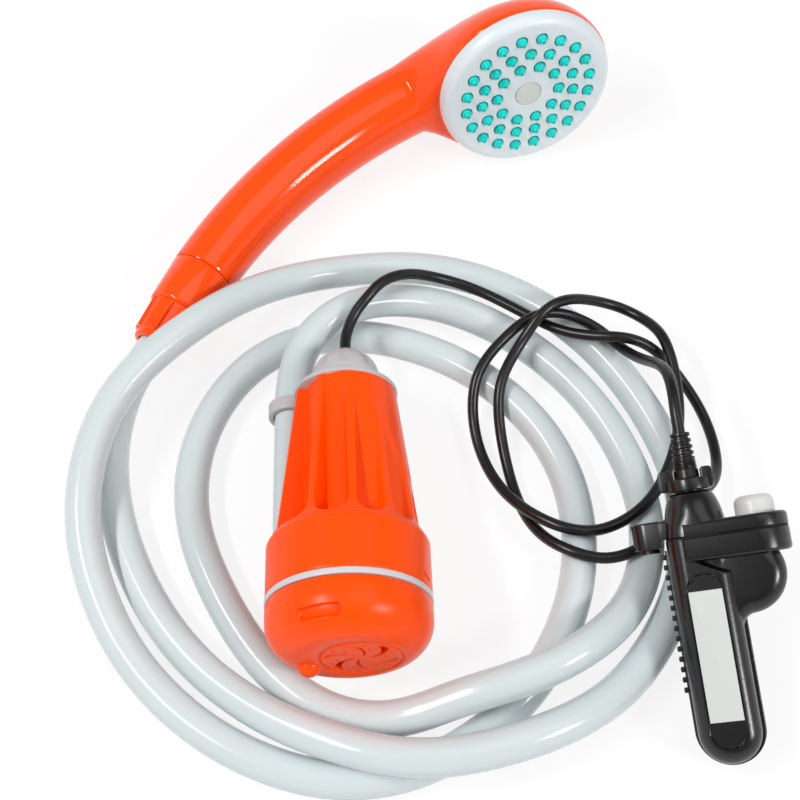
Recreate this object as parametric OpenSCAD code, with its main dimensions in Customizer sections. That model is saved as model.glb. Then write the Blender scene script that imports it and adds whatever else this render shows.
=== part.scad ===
// Camp shower pump kit: a submersible pump, its hose, a hand shower, a power cord and a battery pack,
// laid out on a flat surface. Millimetres, +Z up, origin under the middle of the rigid pieces.

/* [Pump casing] */
// Outside diameter of the wide band of the pump
band_d = 61; // [60:1:66]
// Height of the lower intake cover
cover_h = 19; // [18:1:22]
// Height of the pale ring between cover and housing
trim_h = 2.5; // [2:0.5:4]
// Height of the wide band of the housing
band_h = 23; // [22:1:27]
// Height of the fluted part of the housing
flute_h = 64; // [60:1:70]
// Diameter across the ribs at the foot of the fluted part
rib_foot_d = 55; // [53:1:57]
// Diameter of the housing at its top
top_d = 40; // [39:0.5:42]
// Diameter of the round core between the ribs
core_d = 41; // [40:0.5:42]
// Thickness of one rib
rib_w = 2.4; // [1.6:0.2:3.2]
// Wall of the casings
wall = 2.2; // [1.8:0.1:2.6]
// Rounding of the cover's lower edge
cover_edge = 13; // [11:0.5:14]
// Rounding of the band's shoulder
shoulder_edge = 3.5; // [2:0.5:5]

/* [Pump inside] */
// Sideways offset of the motor from the middle of the band
motor_offset = 4; // [3.5:0.5:4.5]
// Diameter of the motor can
motor_d = 27.8; // [24:0.2:28.6]
// Length of the motor can
motor_h = 36; // [30:1:42]
// Diameter of the motor shaft
shaft_d = 3; // [2:0.1:4]
// Diameter of the impeller
impeller_d = 38; // [34:1:42]
// Diameter of the inlet eye above the filter
eye_d = 14; // [12:1:18]
// Diameter of the ring round the intake grille
grille_d = 31; // [28:1:33]

/* [Pump cap] */
// Diameter of the cap's flange
flange_d = 41; // [40.6:0.2:43]
// Thickness of the cap's flange
flange_t = 2; // [1.6:0.2:3]
// Radius of the cap's dome
dome_r = 12.8; // [11.5:0.1:13.5]
// Height of the straight foot of the cap's dome
dome_lift = 3.5; // [2:0.5:5]
// Height of the ring that clips the hose
clip_h = 6; // [4:0.5:8]
// Wall of the ring that clips the hose
clip_wall = 2.1; // [1.6:0.1:2.4]

/* [Hose] */
// Outside diameter of the hose
hose_d = 14; // [13:0.5:14]
// Bore of the hose, which its barbs fill
hose_bore_d = 10; // [8:0.5:10]
// Height of the hose's underside above the surface where it lies flat
hose_rise = 0.5; // [0.4:0.1:1]

/* [Hand shower] */
// Diameter of the spray plate
face_d = 78.6; // [76:0.2:84]
// Depth of the spray plate
face_h = 6; // [5:0.5:8]
// Radius of the handle's bend along its middle
bend_r = 200; // [190:5:210]
// Diameter of the handle at the nut
handle_end_d = 28.4; // [27:0.2:30]
// Diameter of the handle at the head
handle_neck_d = 32.5; // [31.5:0.5:35]
// Diameter of the water way in the handle
water_way_d = 16; // [12:0.5:18]
// Length of the nut's smooth band
nut_band_h = 21.5; // [20:0.5:26]
// Length of the nut's tapered end
nut_taper_h = 18.5; // [16:0.5:22]
// Diameter of the nut's tapered end at its tip
nut_tip_d = 21.6; // [20:0.2:23]
// Diameter of one nozzle
nozzle_d = 4.8; // [4:0.2:5]
// Height of the nozzles above the spray plate
nozzle_h = 2.4; // [1.6:0.2:4]

/* [Cord and plug] */
// Diameter of the power cord
cord_d = 4.5; // [4:0.1:4.6]
// Length of the strain relief
relief_h = 19; // [17:1:21]
// Diameter of the plug's locking collar
collar_d = 15.6; // [15:0.2:17]
// Reach of the collar's wings from its axis
wing_reach = 9.8; // [9:0.2:11]

/* [Battery pack] */
// Width of the pack's body
pack_w = 22.6; // [22:0.2:25]
// Thickness of the pack's body
pack_t = 24; // [23:0.5:25]
// Length of the pack's body below its cap
pack_h = 81; // [79:1:85]
// Rounding of the body's long edges
pack_edge = 6.5; // [5:0.5:7.5]
// Wall of the pack's shells
pack_wall = 1.7; // [1.5:0.1:2]
// Reach of the switch arm from the body's axis
arm_reach = 33; // [32:0.5:35]
// Height of the arm below the cap's seam
arm_h = 8.5; // [8:0.5:9.5]
// Height of the arm above the cap's seam
arm_cap_h = 5; // [5:0.5:7]
// Thickness of the arm
arm_t = 22; // [21:0.5:23]
// Diameter of the push button
button_d = 14.4; // [13:0.2:15.6]
// Height of the button above the arm
button_h = 7; // [5:0.5:9]
// Travel of the button
button_travel = 2.5; // [1.5:0.5:3]
// Diameter of the battery cell
cell_d = 18.4; // [17.4:0.2:18.6]
// Length of the pack that the cell leaves free for its contacts and the lower screw
cell_room = 16; // [15.5:0.5:18]

/* [Hidden] */
$fn = 64;

// Colours of the materials
orange = [1, 0.31, 0.04];
pale_grey = [0.81, 0.81, 0.80];
hose_grey = [0.79, 0.83, 0.83];
turquoise = [0.06, 0.83, 0.80];
black = [0.09, 0.09, 0.09];
white = [0.93, 0.93, 0.92];
steel = [0.62, 0.63, 0.65];
brass = [0.80, 0.65, 0.30];

// Clearances
cut = 1;
seam_gap = 0.3;
slip_gap = 0.3;
press_gap = 0.05;
run_gap = 0.05;

// Where each piece of the kit lies: position, then turn about X, Y and Z, and the shift of them all
kit_shift = [3.4, -3.2, 0];
pump_pos = [-35.7, -130.5, 38];
pump_turn = [-93, 0, 2];
head_pos = [39.4, 129.1, 41];
head_turn = [-81.5, 11.1, 197.4];
pack_pos = [92, -84.7, 38.6];
pack_turn = [21.5, -17.5, 1.8];

// Heights along the pump, from the intake face at 0
band_r = band_d / 2;
trim_z = cover_h + seam_gap;
band_z = trim_z + trim_h;
shoulder_z = band_z + band_h;
top_z = shoulder_z + flute_h;
dome_z = top_z + flange_t;
floor_t = 6;
chamber_top_z = shoulder_z - floor_t;

// Bayonet between cover and housing
spigot_r = band_r - 4.2;
spigot_t = 2;
bore_r = band_r - wall - 0.6;
ledge_h = 1.2;
lug_h = 2;
lug_z = band_z + ledge_h + slip_gap;
lug_r = bore_r - slip_gap;
ledge_r = spigot_r + slip_gap;
bayonet_count = 3;
lug_angle = 24;
ledge_angle = 34;
bayonet_top_z = lug_z + lug_h;
joint_ledge_h = 3;

// Impeller chamber
plate_t = 2.4;
plate_z = bayonet_top_z + slip_gap;
chamber_z = plate_z + plate_t;
chamber_r = bore_r - 1.2;
eye_r = eye_d / 2;
impeller_r = impeller_d / 2;
impeller_disc_t = 1.8;
impeller_top_z = chamber_top_z - 2;
vane_z = chamber_z + 1.8;
vane_t = 1.4;
vane_count = 6;
hub_r = 4.5;
seal_h = 3;
seal_r = 5;

// Motor
motor_r = motor_d / 2;
motor_space_r = motor_r + 0.4;
motor_z = shoulder_z;
can_t = 0.9;
shaft_r = shaft_d / 2;
bush_r = 4;
bush_h = 3.2;
magnet_t = 2.1;
magnet_gap = 0.5;
core_z = motor_z + 5;
core_top_z = motor_z + motor_h - 5;
bell_h = 5;
bell_z = motor_z + motor_h;
armature_r = motor_r - can_t - magnet_t - magnet_gap;
armature_poles = 3;
pole_slot_w = 3;
commutator_r = 4.2;
brush_w = 3;
shaft_low_z = impeller_top_z - impeller_disc_t - 4;
shaft_top_z = bell_z + bell_h + 2;

// Ribs of the fluted part: angles about the pump's axis, the widest gap holds the hose
rib_angles = [-162, -118, -84, -54, -24, 6, 36, 66, 96, 126];
rib_foot_r = rib_foot_d / 2;
top_r = top_d / 2;
core_r = core_d / 2;
foot_fillet = 4;

// Intake cover details
floor_cover_t = 2.4;
grille_r = grille_d / 2;
grille_bead = 0.6;
slot_count = 6;
slot_turn = -27.5;
slot_w = 1.5;
slot_in_r = 4;
slot_out_r = grille_r - 2.4;
slot_bow_r = 8;
dimple_rings = [[11.8, 36, 0.9], [8.7, 50, 0.7]];
dimple_depth = 0.6;
nub_r = 4.5;
nub_ring_r = 18.5;
nub_angle = 150;
nub_sink = 1.5;
window_angle = 250;
window_size = [3, 16, 4.6];
window_slope = 18;
window_depth = 1.3;
notch_angle = 338;
notch_size = [2, 6, 1.2];
notch_depth = 0.8;
notch_slope = -11;
filter_r = spigot_r - spigot_t - 0.3;
filter_t = 1.5;
filter_hole_d = 2.4;
filter_pitch = 5;
filter_rows = 4;

// Hose where it runs along the pump
hose_r = hose_d / 2;
hose_at = [-22, 8.5];
hose_channel_r = hose_r + 0.6;
spout_r = hose_bore_d / 2;
spout_bore_r = spout_r - 1.4;
spout_h = 16;
barb_h = 3;
barb_lip = 0.5;
barb_pitch = 5;
hose_start_z = shoulder_z + 1;
clip_z = top_z + flange_t - clip_h;
clip_bore_r = hose_r + 0.3;
clip_r = clip_bore_r + clip_wall;

// Cap details
cap_spigot_h = 5;
cap_spigot_r = motor_space_r - 0.2;
ring_w = 0.9;
dome_h = dome_lift + dome_r * 0.92;
wire_bore_r = 4;
gland_flange_r = 5.2;
gland_flange_h = 1.6;
gland_tip_r = 3.2;
gland_h = 4;
gland_root_h = 5;
gland_top_z = dome_z + dome_h + gland_flange_h + gland_h;

// Hand shower, in its own frame: X from the head towards the nut, Z along the spray
face_r = face_d / 2;
face_edge = 4;
face_skin = 2.5;
face_skirt_t = 2.6;
face_seal_t = 0.8;
rim_z = -(face_h + face_seal_t);
rim_r = face_r + 0.5;
bowl_h = 19;
bowl_r = face_r - face_skirt_t;
bowl_sphere_r = (bowl_r * bowl_r + bowl_h * bowl_h) / (2 * bowl_h);
bend_from = 9;
bend_to = 46;
bend_low = [19, -27];
bend_middle = bend_low + [0, bend_r];
neck_r = handle_neck_d / 2;
end_r = handle_end_d / 2;
water_way_r = water_way_d / 2;
loft_sides = 28;
bend_rings = 10;
head_rings = 12;
mat_t = 1.8;
mat_r = bowl_r - 0.4;
nozzle_r = nozzle_d / 2;
nozzle_tip_r = 1.2;
nozzle_bore_r = 0.6;
nozzle_collar = 0.6;
nozzle_rings = [[10, 14.5, 9], [15, 21.5, 4], [20, 29, 0]];
plate_hole_r = nozzle_r + 0.15;
boss_r = 4.2;
screw_r = 1.5;
screw_head_r = 2.8;
screw_head_h = 1.6;
screw_h = 16;
boss_drop = face_skin + slip_gap + press_gap;
cap_disc_r = 6;
cap_disc_t = 1;

// Nut and tail, along the handle's end axis
tail_flange_r = 10.4;
tail_flange_h = 2.5;
washer_t = 1.2;
tail_spigot_h = 8;
tail_spigot_r = water_way_r * cos(180 / loft_sides) - 0.4;
tail_barb_h = 20;
nut_h = nut_band_h + nut_taper_h;
nut_band_tip_r = end_r - 1.2;
nut_shoulder = 0.8;
nut_cavity_r = tail_flange_r + slip_gap;
nut_cavity_h = washer_t + tail_flange_h + 2;
nut_throat_r = hose_r + 1.4;
nut_bore_r = hose_r + 0.5;
nut_tip_r = nut_tip_d / 2;
nut_grips = 6;
nut_grip_w = 4;
nut_grip_depth = 1;
hose_end_s = washer_t + tail_flange_h + 1;

// Battery pack, in its own frame: Y along the body towards the plug, Z out of the front
pack_half = pack_w / 2;
pack_half_t = pack_t / 2;
seal_t = 0.8;
rim_out = 1.4;
rim_t = 2.2;
tooth_count = 14;
tooth_pitch = 3.75;
tooth_size = [1.8, 2, 2.2];
tooth_top_y = -6.5;
rim_top_y = -3;
pocket_w = 13;
pocket_h = 62;
pocket_depth = 1;
pocket_top_y = -13;
label_w = 12;
label_h = 46.5;
label_top = 6;
label_t = 0.6;
arm_half = arm_t / 2;
arm_x = arm_reach - arm_half;
bulge_r = 14.5;
bulge_at = [15, -15];
bulge_half = 9;
dome_foot_r = 11;
dome_foot_h = 4;
dome_tip_r = 7.5;
dome_top_y = 17;
dome_arc_r = 26;
ear_half = 5.5;
ear_x = -18;
ear_low_y = -2;
ear_top_y = 8;
port_r = 3.8;
port_depth = 4;
cover_lip = 1.2;
jack_r = 2.9;
jack_h = 4;
button_r = button_d / 2;
button_x = arm_x;
button_lip = 1;
button_lip_h = 1.6;
button_dome = 3;
button_guide_gap = 0.25;
arm_skin = 2;
arm_space_r = button_r + button_lip + 0.4;
button_low_y = arm_cap_h + seal_t - arm_skin - slip_gap - button_lip_h;
plunger_r = 2.5;
plunger_h = 2;
switch_top_y = button_low_y - button_travel - slip_gap - plunger_h;
switch_size = [13, switch_top_y + arm_h - pack_wall, 12];
cell_r = cell_d / 2;
cell_h = pack_h - cell_room;
cell_low_y = -(pack_h - 13);
contact_t = 0.8;
contact_r = 7;
contact_spring_r = 5;
board_size = [10, 12, 1.6];
board_at = [11.5, -21, -4];
screw_posts = [[0, -(pack_h - 7)], [17, -24.5]];
post_r = 1.4;
post_head_r = 2.4;
post_head_h = 2;
post_wall = 0.6;
socket_r = dome_tip_r - 1.5;
socket_bore_r = 4.3;
socket_low_y = 3;
socket_bore_y = 9;
nose_r = 4;
plug_r = 5.6;
plug_low_y = dome_top_y + seam_gap;
plug_h = 3;
collar_low_y = plug_low_y + slip_gap;
collar_h = 4.4;
collar_bore_r = plug_r + slip_gap;
wing_w = 5.5;
wing_h = 6.2;
wing_lift = 2;
collar_lid_h = plug_h + slip_gap;
relief_y = plug_low_y + plug_h;
relief_foot_r = 4.1;
relief_tip_r = 3.1;
relief_grooves = 4;
relief_pitch = 2.3;
relief_groove_w = 1;
relief_core_r = 2.6;
fine_grooves = 5;
fine_pitch = 0.85;
fine_groove_w = 0.35;
fine_core_r = 3.4;
fine_top = 8.7;
relief_top_y = relief_y + relief_h;
contact_pin_r = 0.9;
contact_pin_x = 1.9;
contact_pin_h = 5;

// Turning and placing of single points, as the pieces are turned and placed
function turn_x(p, a) = [p[0], p[1] * cos(a) - p[2] * sin(a), p[1] * sin(a) + p[2] * cos(a)];
function turn_y(p, a) = [p[0] * cos(a) + p[2] * sin(a), p[1], p[2] * cos(a) - p[0] * sin(a)];
function turn_z(p, a) = [p[0] * cos(a) - p[1] * sin(a), p[0] * sin(a) + p[1] * cos(a), p[2]];
function placed(p, at, turn) = kit_shift + at + turn_z(turn_y(turn_x(p, turn[0]), turn[1]), turn[2]);
function pump_point(p) = placed(p, pump_pos, pump_turn);
function head_point(p) = placed(p, head_pos, head_turn);
function pack_point(p) = placed(p, pack_pos, pack_turn);

// Middle line of the handle, by its direction in degrees, and of the nut beyond the handle's end
function bend_point(a) = bend_middle + bend_r * [sin(a), -cos(a)];
function nut_point(s) = bend_point(bend_to) + s * [cos(bend_to), sin(bend_to)];
function nut_place(s) = let (q = nut_point(s)) head_point([q[0], 0, q[1]]);

// Routes of the hose and the cord: points chosen on the surface, with the lift above it for the hose
hose_lay = [[-60, 3, 16], [-54, 14, 16], [-43, 25, 17], [-26, 32, 15], [-3, 35, 7], [18, 30, 1],
    [37, 18, 0], [55, 0, 0], [68, -20, 0], [77, -42, 0], [81, -64, 0], [78, -86, 1], [68, -106, 8],
    [52, -121, 16], [36, -130, 17], [18, -136, 16], [2, -139, 10], [-14, -144, 3], [-32, -145, 0],
    [-53, -138, 0], [-74, -119, 0],
    [-91, -91, 0], [-102, -64, 0], [-103, -36, 0], [-95, -10, 0], [-79, 11, 0], [-57, 22, 0], [-32, 23, 0],
    [-6, 16, 0], [18, 2, 0], [38, -18, 0], [50, -42, 0], [54, -68, 0], [51, -94, 0], [41, -118, 0],
    [26, -139, 0], [5, -155, 0], [-18, -165, 0], [-42, -167, 0], [-67, -161, 0], [-94, -147, 0],
    [-118, -125, 2], [-133, -100, 8], [-141, -75, 13], [-142, -52, 16], [-138, -30, 19], [-128, -11, 22],
    [-114, 5, 22], [-98, 21, 20], [-81, 37, 13], [-60, 50, 5], [-38, 57, 0], [-12, 59, 0], [16, 53, 0],
    [43, 39, 0], [66, 18, 0], [83, -9, 0], [94, -37, 0], [98, -66, 0], [93, -91, 0], [79, -117, 1],
    [62, -137, 7], [43, -149, 13], [23, -157, 16], [0, -162, 16], [-20, -162, 16], [-41, -156, 13],
    [-65, -146, 7], [-91, -128, 1], [-112, -104, 0], [-126, -78, 0], [-134, -54, 0], [-137, -28, 1]];
cord_lay = [[-40, 9, 31], [-38, 15, 32], [-35, 20, 34], [-31, 24, 36], [-26, 31, 37], [-16, 38, 33],
    [-4, 43, 23], [12, 41, 18], [26, 33, 18], [38, 25, 18], [50, 18, 18], [63, 13, 22], [77, 11, 26],
    [90, 9, 18], [100, 2, 8], [108, -10, 4], [112, -25, 4], [112, -40, 6], [107, -51, 13], [99, -58, 19],
    [91, -65, 19], [84, -73, 18], [75, -81, 19], [62, -85, 16], [48, -82, 18], [37, -73, 12], [30, -58, 6],
    [26, -40, 4], [23, -24, 9], [22, -11, 17], [26, 0, 20], [33, 11, 22], [41, 21, 31], [52, 28, 29],
    [64, 32, 21], [76, 32, 16], [86, 25, 17], [92, 13, 24], [95, -2, 22], [96, -18, 20], [94, -33, 19],
    [89, -46, 18], [83, -57, 18], [74, -66, 17], [62, -72, 16], [50, -74, 19], [37, -68, 17], [24, -54, 9],
    [16, -37, 5], [12, -20, 6], [12, -6, 16], [18, 5, 19], [26, 14, 20], [35, 21, 24], [46, 25, 24],
    [57, 24, 20], [67, 19, 18], [76, 9, 17], [81, -4, 31], [84, -14, 46], [85, -26, 56]];

hose_run_steps = 3;
hose_run = (clip_z - hose_start_z) / hose_run_steps;
hose_lead = [clip_h + 2, clip_h + 7];
hose_tail_step = 14;
cord_lead = 3;
cord_end_gap = 0.1;
hose_points = concat(
    [for (k = [0:hose_run_steps]) pump_point([hose_at[0], hose_at[1], hose_start_z + k * hose_run])],
    [for (lead = hose_lead) pump_point([hose_at[0], hose_at[1], clip_z + lead])],
    [for (p = hose_lay) kit_shift + p + [0, 0, hose_r + hose_rise]],
    [for (k = [4:-1:0]) nut_place(hose_end_s + k * hose_tail_step)]);
cord_points = concat(
    [for (k = [0:1]) pump_point([0, 0, gland_top_z + cord_end_gap + k * cord_lead])],
    [for (p = cord_lay) kit_shift + p],
    [for (k = [2:-1:0]) pack_point([0, relief_top_y + cord_end_gap + k * cord_d, 0])]);

// Smooth curve led by a list of points, with a number of steps from each point to the next
function led_ends(p) = let (n = len(p)) concat([2 * p[0] - p[1]], p, [2 * p[n - 1] - p[n - 2]]);
function blend(a, b, c, d, t) = (pow(1 - t, 3) * a + (3 * pow(t, 3) - 6 * pow(t, 2) + 4) * b
    + (1 + 3 * t + 3 * pow(t, 2) - 3 * pow(t, 3)) * c + pow(t, 3) * d) / 6;
function curve(p, steps) = let (e = led_ends(p), n = len(p)) concat(
    [for (i = [0:n - 2], j = [0:steps - 1]) blend(e[i], e[i + 1], e[i + 2], e[i + 3], j / steps)],
    [p[n - 1]]);

// Least gap of a tube to itself, measured between points that lie well apart along it
function least_gap(p, d, apart) = min([for (i = [0:len(p) - 1 - apart], j = [i + apart:len(p) - 1])
    norm(p[i] - p[j])]) - d;
gap_steps = 3;
hose_apart = 9;
cord_apart = 6;
echo(hose_gap = least_gap(curve(hose_points, gap_steps), hose_d, hose_apart));
echo(cord_gap = least_gap(curve(cord_points, gap_steps), cord_d, cord_apart));

// Tube swept along points, as one closed surface of triangles
function unit(v) = v / norm(v);
function tube_ring(p, t, r, sides) = let (s = unit(cross(t, [0, 0, 1])), v = cross(s, t))
    [for (k = [0:sides - 1]) p + r * (cos(360 * k / sides) * s + sin(360 * k / sides) * v)];
function tangent(p, i) = unit(p[min(i + 1, len(p) - 1)] - p[max(i - 1, 0)]);
function skin_faces(rings, sides) = concat(
    [for (i = [0:rings - 2], k = [0:sides - 1]) let (a = i * sides + k, b = i * sides + (k + 1) % sides)
        each [[a, b, a + sides], [b, b + sides, a + sides]]],
    [for (k = [1:sides - 2]) [0, k + 1, k]],
    [for (k = [1:sides - 2]) (rings - 1) * sides * [1, 1, 1] + [0, k, k + 1]]);
module tube_along(p, r, sides) {
    rings = [for (i = [0:len(p) - 1]) each tube_ring(p[i], tangent(p, i), r, sides)];
    polyhedron(rings, skin_faces(len(p), sides));
}

// Shared shapes
module tube(r_out, r_in, h) {
    difference() {
        cylinder(r = r_out, h = h);
        translate([0, 0, -cut]) cylinder(r = r_in, h = h + 2 * cut);
    }
}
module sector(r, angle, h) {
    linear_extrude(h) polygon([[0, 0], 2 * r * [cos(angle / 2), -sin(angle / 2)],
        2 * r * [cos(angle / 2), sin(angle / 2)]]);
}
module ring_piece(r_out, r_in, h, angle) {
    intersection() {
        tube(r_out, r_in, h);
        translate([0, 0, -cut]) sector(r_out, angle, h + 2 * cut);
    }
}
module cup_section(r, h, edge) {
    intersection() {
        union() {
            translate([0, edge]) square([r, h]);
            square([r - edge, h]);
            translate([r - edge, edge]) circle(edge);
        }
        square([r, h]);
    }
}
module swirl(r_in, r_out, bow_r, w) {
    intersection() {
        difference() {
            circle(r_out);
            circle(r_in);
        }
        translate([bow_r, 0]) difference() {
            circle(bow_r + w / 2);
            circle(bow_r - w / 2);
        }
        square(r_out + bow_r);
    }
}
module barb(r, bore_r, h) {
    difference() {
        union() {
            cylinder(r = r - barb_lip, h = h);
            for (k = [1:2]) translate([0, 0, h - k * barb_pitch])
                cylinder(r1 = r, r2 = r - barb_lip, h = barb_h);
        }
        translate([0, 0, -cut]) cylinder(r = bore_r, h = h + 2 * cut);
    }
}
module place_pump() { translate(kit_shift + pump_pos) rotate(pump_turn) children(); }
module place_motor() { place_pump() translate([motor_offset, 0, 0]) children(); }
module place_head() { translate(kit_shift + head_pos) rotate(head_turn) children(); }
module place_nut() {
    place_head() translate([nut_point(0)[0], 0, nut_point(0)[1]]) rotate([0, 90 - bend_to, 0]) children();
}
module place_pack() { translate(kit_shift + pack_pos) rotate(pack_turn) children(); }
module along_pack(y) { translate([0, y, 0]) rotate([-90, 0, 0]) children(); }

// Pump

module housing_ribs() {
    intersection() {
        translate([0, 0, shoulder_z - cut]) cylinder(r1 = rib_foot_r, r2 = top_r, h = flute_h + cut);
        union() {
            translate([motor_offset, 0, shoulder_z - cut]) cylinder(r = core_r, h = flute_h + 2 * cut);
            translate([motor_offset, 0, shoulder_z]) rotate_extrude() translate([core_r - cut, 0])
                difference() {
                    square([foot_fillet + cut, foot_fillet]);
                    translate([foot_fillet + cut, foot_fillet]) circle(foot_fillet);
                }
            for (a = rib_angles) rotate([0, 0, a]) translate([0, -rib_w / 2, shoulder_z - cut])
                cube([rib_foot_r + cut, rib_w, flute_h + 2 * cut]);
        }
    }
}
module pump_housing() {
    color(orange) place_pump() {
        difference() {
            union() {
                translate([0, 0, shoulder_z]) mirror([0, 0, 1]) rotate_extrude()
                    cup_section(band_r, band_h, shoulder_edge);
                housing_ribs();
            }
            translate([0, 0, band_z - cut]) cylinder(r = bore_r, h = chamber_z - band_z + cut);
            translate([0, 0, chamber_z - cut]) cylinder(r = chamber_r, h = chamber_top_z - chamber_z + cut);
            translate([motor_offset, 0, motor_z]) cylinder(r = motor_space_r, h = flute_h + cut);
            translate([motor_offset, 0, shoulder_z - seal_h])
                cylinder(r = seal_r + press_gap, h = seal_h + cut);
            translate([motor_offset, 0, chamber_top_z - cut]) cylinder(r = shaft_r + slip_gap, h = floor_t);
            translate([hose_at[0], hose_at[1], chamber_top_z - cut])
                cylinder(r = spout_r - barb_lip + press_gap, h = floor_t + 2 * cut);
            translate([hose_at[0], hose_at[1], shoulder_z])
                cylinder(r = hose_channel_r, h = flute_h + 2 * cut);
            rotate([0, 0, notch_angle]) translate([band_r - notch_depth, 0, band_z + notch_size[1] / 2])
                rotate([notch_slope, 0, 0]) translate([0, -notch_size[1] / 2, 0]) cube(notch_size);
        }
        for (k = [0:bayonet_count - 1]) rotate([0, 0, k * 360 / bayonet_count]) translate([0, 0, band_z])
            ring_piece(bore_r + wall / 2, ledge_r, ledge_h, ledge_angle);
    }
}
module grille_cuts() {
    translate([motor_offset, 0, -cut]) linear_extrude(floor_cover_t + 2 * cut)
        for (k = [0:slot_count - 1]) rotate(slot_turn + k * 360 / slot_count)
            swirl(slot_in_r, slot_out_r, slot_bow_r, slot_w);
    translate([motor_offset, 0, -cut]) for (ring = dimple_rings, k = [0:slot_count - 1])
        rotate([0, 0, ring[1] + k * 360 / slot_count]) translate([ring[0], 0, 0])
            cylinder(r = ring[2], h = cut + dimple_depth);
}
module intake_cover() {
    color(orange) place_pump() difference() {
        union() {
            rotate_extrude() difference() {
                cup_section(band_r, cover_h, cover_edge);
                translate([0, floor_cover_t]) cup_section(band_r - wall, cover_h, cover_edge - wall);
            }
            translate([0, 0, cover_h - joint_ledge_h])
                tube(band_r - wall / 2, spigot_r - spigot_t, joint_ledge_h);
            translate([0, 0, cover_h - joint_ledge_h])
                tube(spigot_r, spigot_r - spigot_t, bayonet_top_z - cover_h + joint_ledge_h);
            for (k = [0:bayonet_count - 1]) rotate([0, 0, k * 360 / bayonet_count]) translate([0, 0, lug_z])
                ring_piece(lug_r, spigot_r - spigot_t / 2, lug_h, lug_angle);
            translate([motor_offset, 0, 0]) rotate_extrude() translate([grille_r, 0]) circle(grille_bead);
            rotate([0, 0, nub_angle]) translate([nub_ring_r, 0, nub_sink]) rotate([90, 0, 0]) sphere(nub_r);
        }
        grille_cuts();
        rotate([0, 0, window_angle])
            translate([band_r - cover_edge, 0, cover_edge]) rotate([0, window_slope, 0])
            translate([cover_edge - window_depth, -window_size[1] / 2, -window_size[2] / 2])
                cube(window_size);
    }
}
module trim_ring() {
    color(pale_grey) place_pump() translate([0, 0, trim_z]) tube(band_r + seam_gap, ledge_r, trim_h);
}
module filter_screen() {
    color(pale_grey) place_pump() translate([0, 0, bayonet_top_z - filter_t]) difference() {
        cylinder(r = filter_r, h = filter_t);
        for (i = [-filter_rows:filter_rows], j = [-filter_rows:filter_rows])
            if (norm([i, j]) < filter_rows + 0.3) translate([i * filter_pitch, j * filter_pitch, -cut])
                cylinder(d = filter_hole_d, h = filter_t + 2 * cut);
    }
}
module volute_plate() {
    color(pale_grey) place_pump() translate([0, 0, plate_z]) difference() {
        cylinder(r = bore_r - press_gap, h = plate_t);
        translate([motor_offset, 0, -cut]) cylinder(r = eye_r, h = plate_t + 2 * cut);
    }
}
module impeller() {
    color(white) place_motor() difference() {
        union() {
            translate([0, 0, impeller_top_z - impeller_disc_t]) cylinder(r = impeller_r, h = impeller_disc_t);
            translate([0, 0, vane_z]) cylinder(r = hub_r, h = impeller_top_z - vane_z);
            translate([0, 0, vane_z]) linear_extrude(impeller_top_z - vane_z)
                for (k = [0:vane_count - 1]) rotate(k * 360 / vane_count)
                    swirl(hub_r - 1, impeller_r - 0.5, impeller_r * 0.7, vane_t);
        }
        translate([0, 0, shaft_low_z - press_gap]) cylinder(r = shaft_r + press_gap, h = impeller_top_z);
    }
}
module motor_shaft() {
    color(steel) place_motor() translate([0, 0, shaft_low_z])
        cylinder(r = shaft_r, h = shaft_top_z - shaft_low_z);
}
module shaft_seal() {
    color(black) place_motor() translate([0, 0, shoulder_z - seal_h]) tube(seal_r, shaft_r + run_gap, seal_h);
}
module motor_can() {
    color(steel) place_motor() translate([0, 0, motor_z]) difference() {
        cylinder(r = motor_r, h = motor_h);
        translate([0, 0, bush_h]) cylinder(r = motor_r - can_t, h = motor_h);
        translate([0, 0, -cut]) cylinder(r = bush_r + press_gap, h = bush_h + 2 * cut);
    }
}
module motor_magnets() {
    color(black) place_motor() translate([0, 0, core_z]) for (a = [0, 180]) rotate([0, 0, a])
        ring_piece(motor_r - can_t - press_gap, motor_r - can_t - magnet_t, core_top_z - core_z, 130);
}
module armature() {
    color(brass) place_motor() difference() {
        union() {
            translate([0, 0, core_z]) difference() {
                cylinder(r = armature_r, h = core_top_z - core_z);
                for (k = [0:armature_poles - 1]) rotate([0, 0, k * 360 / armature_poles])
                    translate([commutator_r, -pole_slot_w / 2, -cut])
                        cube([motor_r, pole_slot_w, core_top_z - core_z + 2 * cut]);
            }
            translate([0, 0, core_top_z - cut]) cylinder(r = commutator_r, h = bell_z - core_top_z);
        }
        translate([0, 0, motor_z]) cylinder(r = shaft_r + press_gap, h = motor_h);
    }
}
module motor_bushes() {
    color(brass) place_motor() for (z = [motor_z, bell_z + bell_h - bush_h]) translate([0, 0, z])
        tube(bush_r, shaft_r + run_gap, bush_h);
}
module motor_brushes() {
    color(black) place_motor() for (a = [90, 270]) rotate([0, 0, a])
        translate([commutator_r + slip_gap, -brush_w / 2, core_top_z + slip_gap])
            cube([brush_w, brush_w, bell_z - core_top_z - slip_gap]);
}
module motor_end_bell() {
    color(white) place_motor() translate([0, 0, bell_z]) difference() {
        cylinder(r = motor_r, h = bell_h);
        translate([0, 0, bell_h - bush_h]) cylinder(r = bush_r + press_gap, h = bush_h + cut);
        translate([0, 0, -cut]) cylinder(r = shaft_r + slip_gap, h = bell_h);
    }
}
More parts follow.
